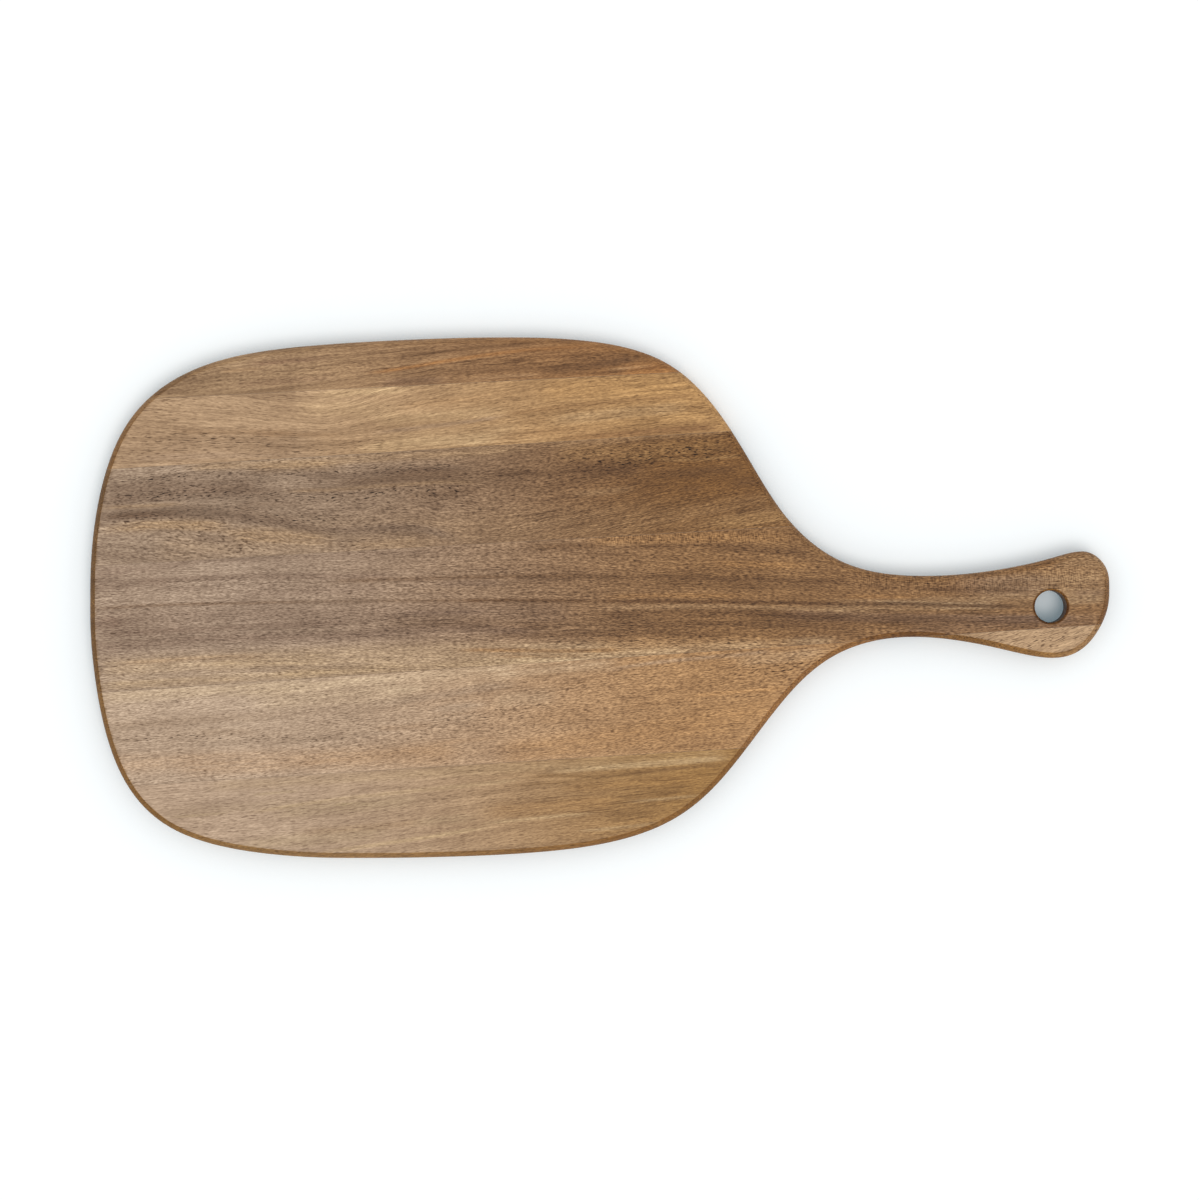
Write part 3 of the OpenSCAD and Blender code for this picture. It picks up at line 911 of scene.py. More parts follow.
def squares(index):
    """Faces of a grid of point numbers: one for each square of four neighbours."""
    corners = (index[:-1, :-1], index[:-1, 1:], index[1:, 1:], index[1:, :-1])
    return np.stack(corners, axis=-1).reshape(-1, 4)


def write_layer(mesh, layer, kind, field, values):
    """Stores one value for each point of a mesh."""
    values = np.ascontiguousarray(values, dtype=np.float32).ravel()
    mesh.attributes.new(layer, kind, "POINT").data.foreach_set(field, values)


class Shell:
    """Patches of one piece's surface, gathered and then sewn into a closed mesh.

    A patch is a grid whose points hold their place along, across and up, the rim's painted shade
    and the share of end grain.
    """

    def __init__(self, board):
        self.board = board
        self.points = []
        self.faces = []
        self.count = 0

    def add(self, places, heights, closed=False, rim_shade_and_grain=0):
        """Adds a patch: places along and across, heights, and the rim's painted shade and end grain."""
        grid = np.zeros(places.shape[:2] + (5,))
        grid[..., :2] = places[..., :2]
        grid[..., 2] = heights
        grid[..., 3:] = rim_shade_and_grain
        rows, columns = grid.shape[:2]
        index = self.count + np.arange(rows * columns).reshape(rows, columns)
        self.count += rows * columns
        if closed:
            index = np.hstack([index, index[:, :1]])
        self.points.append(grid.reshape(rows * columns, 5))
        self.faces.append(squares(index))

    def add_faces(self, places):
        """Adds the serving face and the underside over one grid of places along and across."""
        for height in (0, self.board.thick):
            self.add(places, height)

    def add_walls(self, loops, levels):
        """Adds the walls through one loop of places for each level of an eased edge."""
        rim_shade_and_grain = levels[:, 2, None, None] * loops[..., 2:]
        self.add(loops, levels[:, 1, None], closed=True, rim_shade_and_grain=rim_shade_and_grain)

    def sewn(self, name):
        """The finished object: coincident points merged, faces turned outwards."""
        points = np.vstack(self.points)
        x, y = self.board.to_board(points[:, 0], points[:, 1])
        places = np.stack([x, y, points[:, 2]], axis=1)
        mesh = bpy.data.meshes.new(name)
        mesh.from_pydata(places.tolist(), [], np.vstack(self.faces).tolist())
        # The 'edge' layer holds the rim's painted shade; the next holds end grain, faded by painted shade on
        # the lit side
        write_layer(mesh, "edge", "FLOAT", "value", points[:, 3])
        write_layer(mesh, "end_grain_and_shade", "FLOAT", "value", points[:, 4])
        sewing = bmesh.new()
        sewing.from_mesh(mesh)
        bmesh.ops.remove_doubles(sewing, verts=sewing.verts, dist=SEW_DISTANCE)
        bmesh.ops.recalc_face_normals(sewing, faces=sewing.faces)
        sewing.to_mesh(mesh)
        sewing.free()
        mesh.shade_smooth()
        mesh.set_sharp_from_angle(angle=SHARP_ANGLE)
        piece = bpy.data.objects.new(name, mesh)
        bpy.context.scene.collection.objects.link(piece)
        return piece


def four_sided_shell(board, sides):
    """Shell of a piece whose outline at each inset is four sides."""
    shell = Shell(board)
    loops = np.stack([closed_loop(*sides(inset)) for inset in board.rim[:, 0]])
    shell.add_walls(loops, board.rim)
    shell.add_faces(filled(*sides(board.rim[-1, 0])))
    return shell


def strip_shell(board, low, high, step_along, step_across, part=0):
    """Shell of a strip between two joints, from the rim on its left to the rim on its right."""
    ends = [board.ring(board.joint_ends(0, joint, part), 0) for joint in (low, high)]
    steps_u = max(steps_between(*end, step_along) for end in ends)
    steps_v = max(1, round((high.place - low.place) / step_across))

    def sides(inset):
        low_u = board.joint_ends(inset, low, part)
        high_u = board.joint_ends(inset, high, part)
        south = straight(*board.ring(low_u, inset), steps_u)
        north = straight(*board.ring(high_u, inset), steps_u)
        west = board.rim_run(inset, low_u[0], high_u[0], steps_v)
        east = board.rim_run(inset, low_u[1], high_u[1], steps_v)
        return south, east, north, west

    return four_sided_shell(board, sides)


def stave_shell(board, low, high):
    """Shell of a stave between two joints, short of their glue."""
    low = low.moved(board.glue / 2)
    high = high.moved(-board.glue / 2)
    return strip_shell(board, low, high, STEP_ALONG, STEP_ACROSS)


def edge_shell(board, joint, above, part=0):
    """Shell of a piece between one joint's glue and the run of the rim above or below it."""
    joint = joint.moved(board.glue / 2 if above else -board.glue / 2)
    ends = board.joint_ends(0, joint, part)
    run = board.rim_run(0, *ends, WIDTH_STEPS)
    steps_u = steps_between(*board.ring(ends, 0), STEP_ALONG)
    steps_v = max(1, round(float(np.ptp(run[:, 1])) / STEP_ACROSS))

    def sides(inset):
        left, right = board.joint_ends(inset, joint, part)
        chord = straight(*board.ring(np.array([left, right]), inset), steps_u)
        bow = board.rim_run(inset, left, right, steps_u)
        west = np.repeat(chord[:1], steps_v + 1, axis=0)
        east = np.repeat(chord[-1:], steps_v + 1, axis=0)
        if above:
            return chord, east, bow, west
        return bow, east, chord, west

    return four_sided_shell(board, sides)


def handle_shell(board):
    """Shell of the handle stave: its strip of the blade, the neck, and the grip with the hanging hole.

    Left of the hole its faces are a grid between the two sides. Round the hole they are rows from
    the hole's circle out to the rest of the loop, each point on the ray from the hole's middle.
    """
    low = board.handle_lower_joint.moved(board.glue / 2)
    high = board.handle_upper_joint.moved(-board.glue / 2)
    split = board.hole[0] - HOLE_GRID_INSET
    split_low = np.array([split, low.height(split), 0, 0])
    steps_v = round((high.place - low.place) / STEP_ACROSS)

    def corners(inset):
        far_low, neck_left, neck_right, tip_low = board.joint_crossings(inset, low)
        far_high, shoulder = board.joint_ends(inset, high)
        grip_sides = board.crossings(inset, lambda along, across: along - split)
        grip_top = grip_sides[np.argmax(board.ring(grip_sides, inset)[:, 1])]
        return np.array([far_low, neck_left, neck_right, tip_low, far_high, shoulder, grip_top])

    outer = board.ring(corners(0), 0)
    steps_blade = steps_between(outer[0], outer[1], STEP_ALONG)
    steps_neck = steps_between(outer[1], outer[2], STEP_ALONG)
    steps_joint = steps_between(outer[2], split_low, STEP_ALONG)
    steps_u = steps_blade + steps_neck + steps_joint
    steps_top = round(steps_u * (outer[5, 0] - outer[4, 0]) / (split - outer[4, 0]))
    steps_tip_joint = steps_between(split_low, outer[3], STEP_ALONG)
    steps_tip = 2 * steps_between(outer[3], outer[6], STEP_ALONG)

    def sides(inset):
        u = corners(inset)
        far_low, neck_left, neck_right, tip_low, far_high, shoulder, grip_top = u
        place = board.ring(u, inset)
        south = np.vstack([
            straight(place[0], place[1], steps_blade)[:-1],
            board.rim_run(inset, neck_left, neck_right, steps_neck)[:-1],
            straight(place[2], split_low, steps_joint),
        ])
        north = np.vstack([
            straight(place[4], place[5], steps_top)[:-1],
            board.rim_run(inset, shoulder, grip_top, steps_u - steps_top),
        ])
        west = board.rim_run(inset, far_low, far_high, steps_v)
        east = straight(south[-1], north[-1], steps_v)
        tip = np.vstack([
            straight(split_low, place[3], steps_tip_joint)[:-1],
            board.rim_run(inset, tip_low, grip_top, steps_tip),
        ])
        return south, east, north, west, tip

    def loop(inset):
        south, east, north, west, tip = sides(inset)
        return closed_loop(south, tip, north, west)

    shell = Shell(board)
    shell.add_walls(np.stack([loop(inset) for inset in board.rim[:, 0]]), board.rim)
    south, east, north, west, tip = sides(board.rim[-1, 0])
    shell.add_faces(filled(south, east, north, west))

    outer = np.vstack([tip[:-1], east[::-1]])[:, :2]
    ray = outer - board.hole
    ray /= np.linalg.norm(ray, axis=1)[:, None]
    inner = board.hole + (board.hole_r + board.hole_rim[-1, 0]) * ray
    share = np.linspace(0, 1, HOLE_ROWS + 1)[:, None, None]
    shell.add_faces((1 - share) * inner + share * outer)

    radii = board.hole_r + board.hole_rim[:, 0, None, None]
    hole_loops = np.zeros((len(board.hole_rim), len(ray) - 1, 4))
    hole_loops[..., :2] = board.hole + radii * ray[:-1]
    # Painted shade: the hanging hole's eased rim and wall take the rim's full painted shade all round; their
    # end grain is real
    hole_loops[..., 2] = 1
    hole_loops[..., 3] = np.abs(ray[:-1, 0])
    shell.add_walls(hole_loops, board.hole_rim)
    return shell


def follow(line, along):
    """Height across of a smooth line through given places, held level past its ends.

    Between two places it is the cubic that has at each the slope of the chords beside it.
    """
    places = np.array(line, float)
    slope = np.gradient(places[:, 1], places[:, 0])
    along = np.clip(along, places[0, 0], places[-1, 0])
    i = np.clip(np.searchsorted(places[:, 0], along) - 1, 0, len(places) - 2)
    span = places[i + 1, 0] - places[i, 0]
    t = (along - places[i, 0]) / span
    ends = (2 * t ** 3 - 3 * t ** 2 + 1) * places[i, 1] + (3 * t ** 2 - 2 * t ** 3) * places[i + 1, 1]
    slopes = (t ** 3 - 2 * t ** 2 + t) * slope[i] + (t ** 3 - t ** 2) * slope[i + 1]
    return ends + span * slopes


def straightened(timber, along, across):
    """Place across the grain, as if the growth lines were straight.

    Each growth line shifts to its own mean height, the wood between two lines shifts by their blend,
    and each crest adds a bell of its lift.
    """
    heights = [follow(line, along) for line in timber.grain]
    shifts = [height - np.mean(np.array(line)[:, 1]) for line, height in zip(timber.grain, heights)]
    shift = shifts[0]
    for i in range(1, len(heights)):
        share = np.clip((across - heights[i - 1]) / (heights[i] - heights[i - 1]), 0, 1)
        shift = np.where(share > 0, shifts[i - 1] + share * (shifts[i] - shifts[i - 1]), shift)
    grain = across - shift
    for crest in timber.crests:
        far = ((along - crest.along) / crest.long) ** 2 + ((across - crest.across) / crest.wide) ** 2
        grain = grain + crest.lift * np.exp(-far)
    return grain


def banded(bands, names, along, across):
    """Amounts of the named tints or figures at each place.

    A band adds its amount times exp(-|distance / width|^3) from its line, and fades smoothly at
    its two ends.
    """
    amounts = np.zeros((len(along), len(names)))
    for column, name in enumerate(names):
        for amount, width, *line in bands.get(name, ()):
            start, end = line[0][0], line[-1][0]
            fade = min(FADE_LONGEST, FADE_SHARE * (end - start))
            ends = np.clip((along - start) / fade, 0, 1) * np.clip((end - along) / fade, 0, 1)
            ends = ends ** 2 * (3 - 2 * ends)
            bell = np.exp(-np.abs((across - follow(line, along)) / width) ** 3)
            amounts[:, column] += amount * bell * ends
    return np.clip(amounts, 0, 1)


def grow(board, piece, timber):
    """Writes the wood's growth into a piece: its grain coordinates, its tints and its figure.

    The rings lean, so a place below the face shows the wood that lies across from it by the lean
    times its depth.
    """
    mesh = piece.data
    co = np.empty(len(mesh.vertices) * 3, np.float32)
    mesh.vertices.foreach_get("co", co)
    co = co.reshape(-1, 3).astype(float)
    place = board.to_stave(co[:, :2]) / MM
    depth = (board.thick - co[:, 2]) / MM
    along = place[:, 0]
    across = place[:, 1] + timber.lean * depth
    grain = np.stack([along, straightened(timber, along, across), depth], axis=1)
    write_layer(mesh, "grain", "FLOAT_VECTOR", "vector", grain)
    for layer, names in (("tint", TINTS), ("figure", FIGURES)):
        write_layer(mesh, layer, "FLOAT_COLOR", "color", banded(timber.bands, names, along, across))


class Mark(NamedTuple):
    """One kind of mark in the wood: its size along, across and deep in millimetres, how many finer steps
    its noise has, and the two values of the noise between which the mark comes up."""

    size: tuple
    detail: float
    low: float
    high: float


class Finish:
    """Short calls that build the node tree of one material or of the surroundings."""

    def __init__(self, owner):
        self.owner = owner
        owner.use_nodes = True
        self.tree = owner.node_tree
        self.tree.nodes.clear()

    def node(self, kind, **settings):
        """A new node with its settings."""
        made = self.tree.nodes.new(kind)
        for setting, value in settings.items():
            setattr(made, setting, value)
        return made

    def feed(self, socket, value):
        """Links a socket to another, or sets its value."""
        if isinstance(value, bpy.types.NodeSocket):
            self.tree.links.new(value, socket)
        else:
            socket.default_value = value

    def fed(self, made, *values):
        """A node with its first sockets fed in order."""
        for socket, value in zip(made.inputs, values):
            self.feed(socket, value)
        return made

    def layer(self, name):
        """The attribute node of one layer of the mesh."""
        return self.node("ShaderNodeAttribute", attribute_name=name)

    def math(self, operation, *values, clamp=False):
        """A sum, product or the like of one to three values."""
        made = self.node("ShaderNodeMath", operation=operation, use_clamp=clamp)
        return self.fed(made, *values).outputs[0]

    def vector_math(self, operation, *vectors):
        """A sum, quotient or the like of two vectors."""
        return self.fed(self.node("ShaderNodeVectorMath", operation=operation), *vectors).outputs[0]

    def parts(self, kind, value):
        """The three parts of a vector (XYZ) or a colour (Color)."""
        return tuple(self.fed(self.node("ShaderNodeSeparate" + kind), value).outputs)

    def joined(self, kind, *values):
        """A vector (XYZ) or a colour (Color) of three parts."""
        return self.fed(self.node("ShaderNodeCombine" + kind), *values).outputs[0]

    def noise(self, vector, size, detail):
        """Soft noise with features of the given size."""
        made = self.node("ShaderNodeTexNoise")
        self.feed(made.inputs["Vector"], self.vector_math("DIVIDE", vector, size))
        made.inputs["Scale"].default_value = 1
        made.inputs["Detail"].default_value = detail
        return made.outputs[0]

    def cells(self, vector, size):
        """Distance to the middle of the nearest random cell, and that cell's random number."""
        made = self.node("ShaderNodeTexVoronoi", feature="F1")
        self.feed(made.inputs["Vector"], self.vector_math("DIVIDE", vector, size))
        made.inputs["Scale"].default_value = 1
        return made.outputs["Distance"], self.parts("Color", made.outputs["Color"])[0]

    def ramp(self, value, low, high, start=0, end=1):
        """Smooth step from start to end as the value goes from low to high."""
        made = self.node("ShaderNodeMapRange", interpolation_type="SMOOTHSTEP")
        return self.fed(made, value, low, high, start, end).outputs[0]

    def marks(self, vector, mark, start=0, end=1):
        """Marks of one kind: start between them, and end where they are full."""
        return self.ramp(self.noise(vector, mark.size, mark.detail), mark.low, mark.high, start, end)

    def mixed(self, share, first, second, blend="MIX"):
        """Two colours blended by a share. A mix node has its colours at inputs 6 and 7 and output 2."""
        made = self.node("ShaderNodeMix", data_type="RGBA", blend_type=blend)
        self.feed(made.inputs[0], share)
        self.feed(made.inputs[6], first)
        self.feed(made.inputs[7], second)
        return made.outputs[2]

    def surface(self, shader, output="ShaderNodeOutputMaterial"):
        """Makes a shader the surface, and returns what it belongs to."""
        self.feed(self.node(output).inputs["Surface"], shader.outputs[0])
        return self.owner


def rgba(value):
    """A colour property with full opacity."""
    return (*value, 1.0)


# Where the noise of the wood starts, in millimetres: well off the even places at which noise is flat
GRAIN_START = (1013.3, 217.9, 31.27)

# Middle value of noise, and of marks that both lighten and darken
NOISE_MIDDLE = 0.5

# The grain wanders slowly and ripples: sizes of both and how far they go, in millimetres
WARP_SIZE = (70, 16, 16)
WARP_DETAIL = 2
WARP_REACH = 3.0
RIPPLE_SIZE = (9, 5, 5)
RIPPLE_DETAIL = 1
RIPPLE_REACH = 1.2
CURL_REACH = 1.6

# Marks of the wood: patches, streaks and lines, fibres and specks, then ray flecks and curls
MOTTLE = Mark((26, 9, 9), 2, 0.30, 0.70)
PATCH = Mark((40, 6, 6), 2, 0.32, 0.68)
STREAK = Mark((120, 3.0, 3.0), 2, 0.30, 0.70)
LINE = Mark((44, 1.0, 1.0), 2, 0.28, 0.72)
HAIR = Mark((22, 0.55, 0.55), 1, 0.52, 0.68)
FIBRE = Mark((6.5, 0.45, 0.45), 2, 0.25, 0.75)
SPECK = Mark((2.1, 0.44, 0.44), 1, 0.25, 0.75)
FLECK = Mark((0.6, 3.0, 4), 1, 0.35, 0.65)
CURL = Mark((5.5, 9, 9), 2, 0.35, 0.65)

# Dark dashes, whose length each stave gives
DASH_WIDTH = 0.48
DASH_DETAIL = 1
DASH_LOW = 0.55
DASH_HIGH = 0.70

# Pores lie in random cells: their size, and where in its cell a pore starts and is full
PORE_SIZE = (6, 0.7, 0.7)
PORE_RIM = 0.32
PORE_CORE = 0.18

# How far each mark lightens and darkens the wood, the specks towards the far end and the handle
STREAK_SHADE = 0.28
LINE_SHADE = 0.32
FIBRE_SHADE = 0.34
MOTTLE_SHADE = 0.16
FLECK_SHADE = 0.32
CURL_SHADE = 0.12
SPECK_SHADES = (0.54, 0.84)

# How much hairs, dashes and pores darken the wood, and the shade of the wood between them
HAIR_DARK = 0.48
HAIR_GROUND = 1.1
DASH_DARK = 0.66
DASH_GROUND = 1.05
PORE_DARK = 0.35

# How thick dashes, hairs and pores stand, and what patches, bands of pores and bands of lines add
DASH_RATE = 0.35
DASH_PATCH_RATE = 0.45
DASH_PORE_RATE = 0.6
HAIR_RATE = 0.25
HAIR_LINE_RATE = 0.75
PORE_RATE = 0.4
PORE_BAND_RATE = 0.3

# Bands of tint are uneven: their least share, and what streaks and the finer marks add
BAND_SHARE = 0.38
BAND_STREAK_SHARE = 0.35
BAND_MARK_SHARE = 0.3

# Darker wood is warmer: powers of the shade for red, green and blue
SHADE_POWERS = (1.0, 1.12, 1.2)

# Share of the colour that the rim keeps under its painted shade, for red, green and blue, and end grain
# likewise
RIM_SHADE_KEEP = (0.56, 0.41, 0.16)
END_KEEP = (0.70, 0.62, 0.50)

# Where along the staves the far tone, lighter and greyer partly from a painted sheen, turns into the handle
# tone
FAR_TONE_PLACE = -190
NEAR_TONE_PLACE = 60

# Oiled satin face: roughness, what fibres add to it, gloss, thin coat of oil, and fine relief
WOOD_ROUGHNESS = 0.44
FIBRE_ROUGHNESS = 0.12
WOOD_SPECULAR = 0.14
OIL_COAT = 0.07
OIL_ROUGHNESS = 0.18
RELIEF_STRENGTH = 0.25
RELIEF_DEPTH = 0.15 * MM
FIBRE_RELIEF = 0.35

# Noise values between which a softly uneven finish changes, and how fine that noise is
UNEVEN_LOW = 0.3
UNEVEN_HIGH = 0.7
UNEVEN_DETAIL = 2

# Cured glue: size of its unevenness, share of its colour that the darker places keep, roughness
GLUE_UNEVEN_SIZE = (12 * MM, 12 * MM, 3 * MM)
GLUE_KEEP = 0.7
GLUE_ROUGHNESS = 0.4
GLUE_UNEVEN_ROUGHNESS = 0.2


def wood(name, colours, timber):
    """Oiled acacia: tints along the growth lines, streaks, fine lines, fibres, pores and flecks, and painted
    shade on the rim.
    """
    finish = Finish(bpy.data.materials.new(name))
    grain = finish.layer("grain").outputs["Vector"]
    tint = finish.layer("tint")
    figure = finish.layer("figure")
    heart, mauve, gold = finish.parts("Color", tint.outputs["Color"])
    pale = tint.outputs["Alpha"]
    pore_band, fleck, curl = finish.parts("Color", figure.outputs["Color"])
    lined = figure.outputs["Alpha"]
    # The rim's painted shade, and end grain that painted shade fades on the lit side
    edge = finish.layer("edge").outputs["Fac"]
    end_grain_and_shade = finish.layer("end_grain_and_shade").outputs["Fac"]

    def scaled(value, factor, base):
        """A value times a factor, plus a base."""
        return finish.math("MULTIPLY_ADD", value, factor, base)

    def product(*values):
        """All the values multiplied."""
        result = values[0]
        for value in values[1:]:
            result = finish.math("MULTIPLY", result, value)
        return result

    def shades(value, strength):
        """A factor about 1 that goes up and down with a value."""
        return scaled(value, strength, 1 - strength / 2)

    along = finish.parts("XYZ", grain)[0]
    grain = finish.vector_math("ADD", grain, GRAIN_START)
    grain_along, across, depth = finish.parts("XYZ", grain)
    warp = scaled(finish.noise(grain, WARP_SIZE, WARP_DETAIL), WARP_REACH, across)
    ripple = finish.noise(grain, RIPPLE_SIZE, RIPPLE_DETAIL)
    ripple = finish.math("SUBTRACT", ripple, NOISE_MIDDLE)
    warp = scaled(ripple, scaled(curl, CURL_REACH, RIPPLE_REACH), warp)
    grown = finish.joined("XYZ", grain_along, warp, depth)

    streak = finish.marks(grown, STREAK)
    line = finish.marks(grown, LINE)
    fibre = finish.marks(grown, FIBRE)
    dash_size = (timber.dash, DASH_WIDTH, DASH_WIDTH)
    dash = finish.marks(grown, Mark(dash_size, DASH_DETAIL, DASH_LOW, DASH_HIGH))
    crowd = scaled(finish.marks(grown, PATCH), DASH_PATCH_RATE, DASH_RATE)
    dashes = product(dash, scaled(pore_band, DASH_PORE_RATE, crowd))
    hairs = product(finish.marks(grown, HAIR), scaled(lined, HAIR_LINE_RATE, HAIR_RATE))
    distance, chance = finish.cells(grown, PORE_SIZE)
    rate = scaled(pore_band, PORE_BAND_RATE, PORE_RATE)
    pore = product(finish.ramp(distance, PORE_RIM, PORE_CORE), finish.math("LESS_THAN", chance, rate))

    # Tone from the far end to the handle end; the far end's lighter, greyer cast is partly a painted sheen
    nearness = (along, FAR_TONE_PLACE, NEAR_TONE_PLACE)
    tone = finish.mixed(finish.ramp(*nearness), rgba(colours.far), rgba(colours.near))
    uneven = scaled(streak, BAND_STREAK_SHARE, BAND_SHARE)
    for mark in (line, fibre, dash):
        uneven = scaled(mark, BAND_MARK_SHARE, uneven)
    tints = ((pale, colours.pale), (gold, colours.gold), (mauve, colours.mauve), (heart, colours.heart))
    for amount, tint_colour in tints:
        share = finish.math("MULTIPLY", amount, uneven, clamp=True)
        tone = finish.mixed(share, tone, rgba(tint_colour))

    specks = finish.ramp(*nearness, *(timber.specks * shade for shade in SPECK_SHADES))
    shade = product(
        shades(streak, STREAK_SHADE * timber.streaks),
        shades(line, LINE_SHADE * timber.streaks),
        shades(fibre, FIBRE_SHADE * timber.grit),
        scaled(finish.math("SUBTRACT", finish.marks(grown, SPECK), NOISE_MIDDLE), specks, 1),
        shades(finish.marks(grown, MOTTLE), MOTTLE_SHADE),
        scaled(hairs, -HAIR_DARK, HAIR_GROUND),
    )
    shade = scaled(finish.marks(grown, FLECK, -FLECK_SHADE, FLECK_SHADE), fleck, shade)
    shade = scaled(finish.marks(grown, CURL, -CURL_SHADE, CURL_SHADE), curl, shade)
    shade = product(
        shade,
        scaled(dashes, -DASH_DARK * timber.grit, DASH_GROUND),
        scaled(pore, -PORE_DARK, 1),
    )
    warmed = finish.joined("Color", *(finish.math("POWER", shade, power) for power in SHADE_POWERS))
    shaded = finish.mixed(1, tone, warmed, blend="MULTIPLY")
    # Painted shade on the rim, darkest where it faces away from the light, then the darker end grain
    shaded = finish.mixed(edge, shaded, rgba(RIM_SHADE_KEEP), blend="MULTIPLY")
    shaded = finish.mixed(end_grain_and_shade, shaded, rgba(END_KEEP), blend="MULTIPLY")

    hollows = finish.math("MAXIMUM", pore, finish.math("MAXIMUM", dashes, hairs))
    relief = finish.node("ShaderNodeBump")
    relief.inputs["Strength"].default_value = RELIEF_STRENGTH
    relief.inputs["Distance"].default_value = RELIEF_DEPTH
    finish.feed(relief.inputs["Height"], scaled(hollows, -1, product(fibre, FIBRE_RELIEF)))

    shader = finish.node("ShaderNodeBsdfPrincipled")
    finish.feed(shader.inputs["Base Color"], shaded)
    finish.feed(shader.inputs["Roughness"], scaled(fibre, FIBRE_ROUGHNESS, WOOD_ROUGHNESS))
    finish.feed(shader.inputs["Normal"], relief.outputs[0])
    shader.inputs["Specular IOR Level"].default_value = WOOD_SPECULAR
    shader.inputs["Coat Weight"].default_value = OIL_COAT
    shader.inputs["Coat Roughness"].default_value = OIL_ROUGHNESS
    return finish.surface(shader)


def cured_glue(glue_colour):
    """Cured wood glue: a dark, slightly uneven hairline."""
    finish = Finish(bpy.data.materials.new("cured_glue"))
    place = finish.node("ShaderNodeTexCoord").outputs["Object"]
    uneven = finish.noise(place, GLUE_UNEVEN_SIZE, UNEVEN_DETAIL)
    share = finish.ramp(uneven, UNEVEN_LOW, UNEVEN_HIGH)
    darker = rgba([GLUE_KEEP * part for part in glue_colour])
    roughness = finish.math("MULTIPLY_ADD", uneven, GLUE_UNEVEN_ROUGHNESS, GLUE_ROUGHNESS)
    shader = finish.node("ShaderNodeBsdfPrincipled")
    finish.feed(shader.inputs["Base Color"], finish.mixed(share, darker, rgba(glue_colour)))
    finish.feed(shader.inputs["Roughness"], roughness)
    return finish.surface(shader)


def place_stave(name, slot, shell, timber, colours):
    """Finishes a stave: sews it, grows its wood, and sets it in place of its solid."""
    piece = shell.sewn(name)
    grow(shell.board, piece, timber)
    piece.data.materials.append(wood(slot, colours, timber))
    set_in_place(piece, name, slot)


def set_in_place(piece, node, slot):
    """Lets a piece stand for a solid of the frame, which it rides with."""
    piece.name = node + "_wood" if slot != "glue" else node + "_film"
    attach(piece, "root")
    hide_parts(node)


class AddTopEdgeStave(bpy.types.Operator):
    """Add the stave along the upper edge of the blade"""

    bl_idname = "board.top_edge_stave"
    bl_label = "Top edge stave"

    def execute(self, context):
        board = Board(context.scene.board_sizes)
        shell = edge_shell(board, board.upper_joint, above=True)
        colours = context.scene.top_edge_colours
        place_stave("top_edge_stave", "top_edge_wood", shell, TOP_EDGE_TIMBER, colours)
        return {"FINISHED"}


class AddPaleStave(bpy.types.Operator):
    """Add the light golden stave below the top edge stave"""

    bl_idname = "board.pale_stave"
    bl_label = "Pale stave"

    def execute(self, context):
        board = Board(context.scene.board_sizes)
        shell = stave_shell(board, board.pale_joint, board.upper_joint)
        place_stave("pale_stave", "pale_wood", shell, PALE_TIMBER, context.scene.pale_colours)
        return {"FINISHED"}


class AddFiguredStave(bpy.types.Operator):
    """Add the dark stave with the wavy figure"""

    bl_idname = "board.figured_stave"
    bl_label = "Figured stave"

    def execute(self, context):
        board = Board(context.scene.board_sizes)
        shell = stave_shell(board, board.handle_upper_joint, board.pale_joint)
        colours = context.scene.figured_colours
        place_stave("figured_stave", "figured_wood", shell, FIGURED_TIMBER, colours)
        return {"FINISHED"}


class AddHandleStave(bpy.types.Operator):
    """Add the long stave that runs through the neck and the grip, with the hanging hole"""

    bl_idname = "board.handle_stave"
    bl_label = "Handle stave"

    def execute(self, context):
        shell = handle_shell(Board(context.scene.board_sizes))
        colours = context.scene.handle_colours
        place_stave("handle_stave", "handle_wood", shell, HANDLE_TIMBER, colours)
        return {"FINISHED"}


class AddLowerStave(bpy.types.Operator):
    """Add the stave below the handle stave, which ends where the neck was cut"""

    bl_idname = "board.lower_stave"
    bl_label = "Lower stave"

    def execute(self, context):
        board = Board(context.scene.board_sizes)
        shell = stave_shell(board, board.bottom_joint, board.handle_lower_joint)
        place_stave("lower_stave", "lower_wood", shell, LOWER_TIMBER, context.scene.lower_colours)
        return {"FINISHED"}


class AddBottomEdgeStave(bpy.types.Operator):
    """Add the stave along the lower edge of the blade"""

    bl_idname = "board.bottom_edge_stave"
    bl_label = "Bottom edge stave"

    def execute(self, context):
        board = Board(context.scene.board_sizes)
        shell = edge_shell(board, board.bottom_joint, above=False)
        colours = context.scene.bottom_edge_colours
        place_stave("bottom_edge_stave", "bottom_edge_wood", shell, BOTTOM_EDGE_TIMBER, colours)
        return {"FINISHED"}


class AddHandleTipPiece(bpy.types.Operator):
    """Add the offcut of the lower stave at the flared end of the handle"""

    bl_idname = "board.handle_tip_piece"
    bl_label = "Handle tip piece"

    def execute(self, context):
        board = Board(context.scene.board_sizes)
        shell = edge_shell(board, board.handle_lower_joint, above=False, part=1)
        place_stave("handle_tip_piece", "tip_wood", shell, TIP_TIMBER, context.scene.tip_colours)
        return {"FINISHED"}


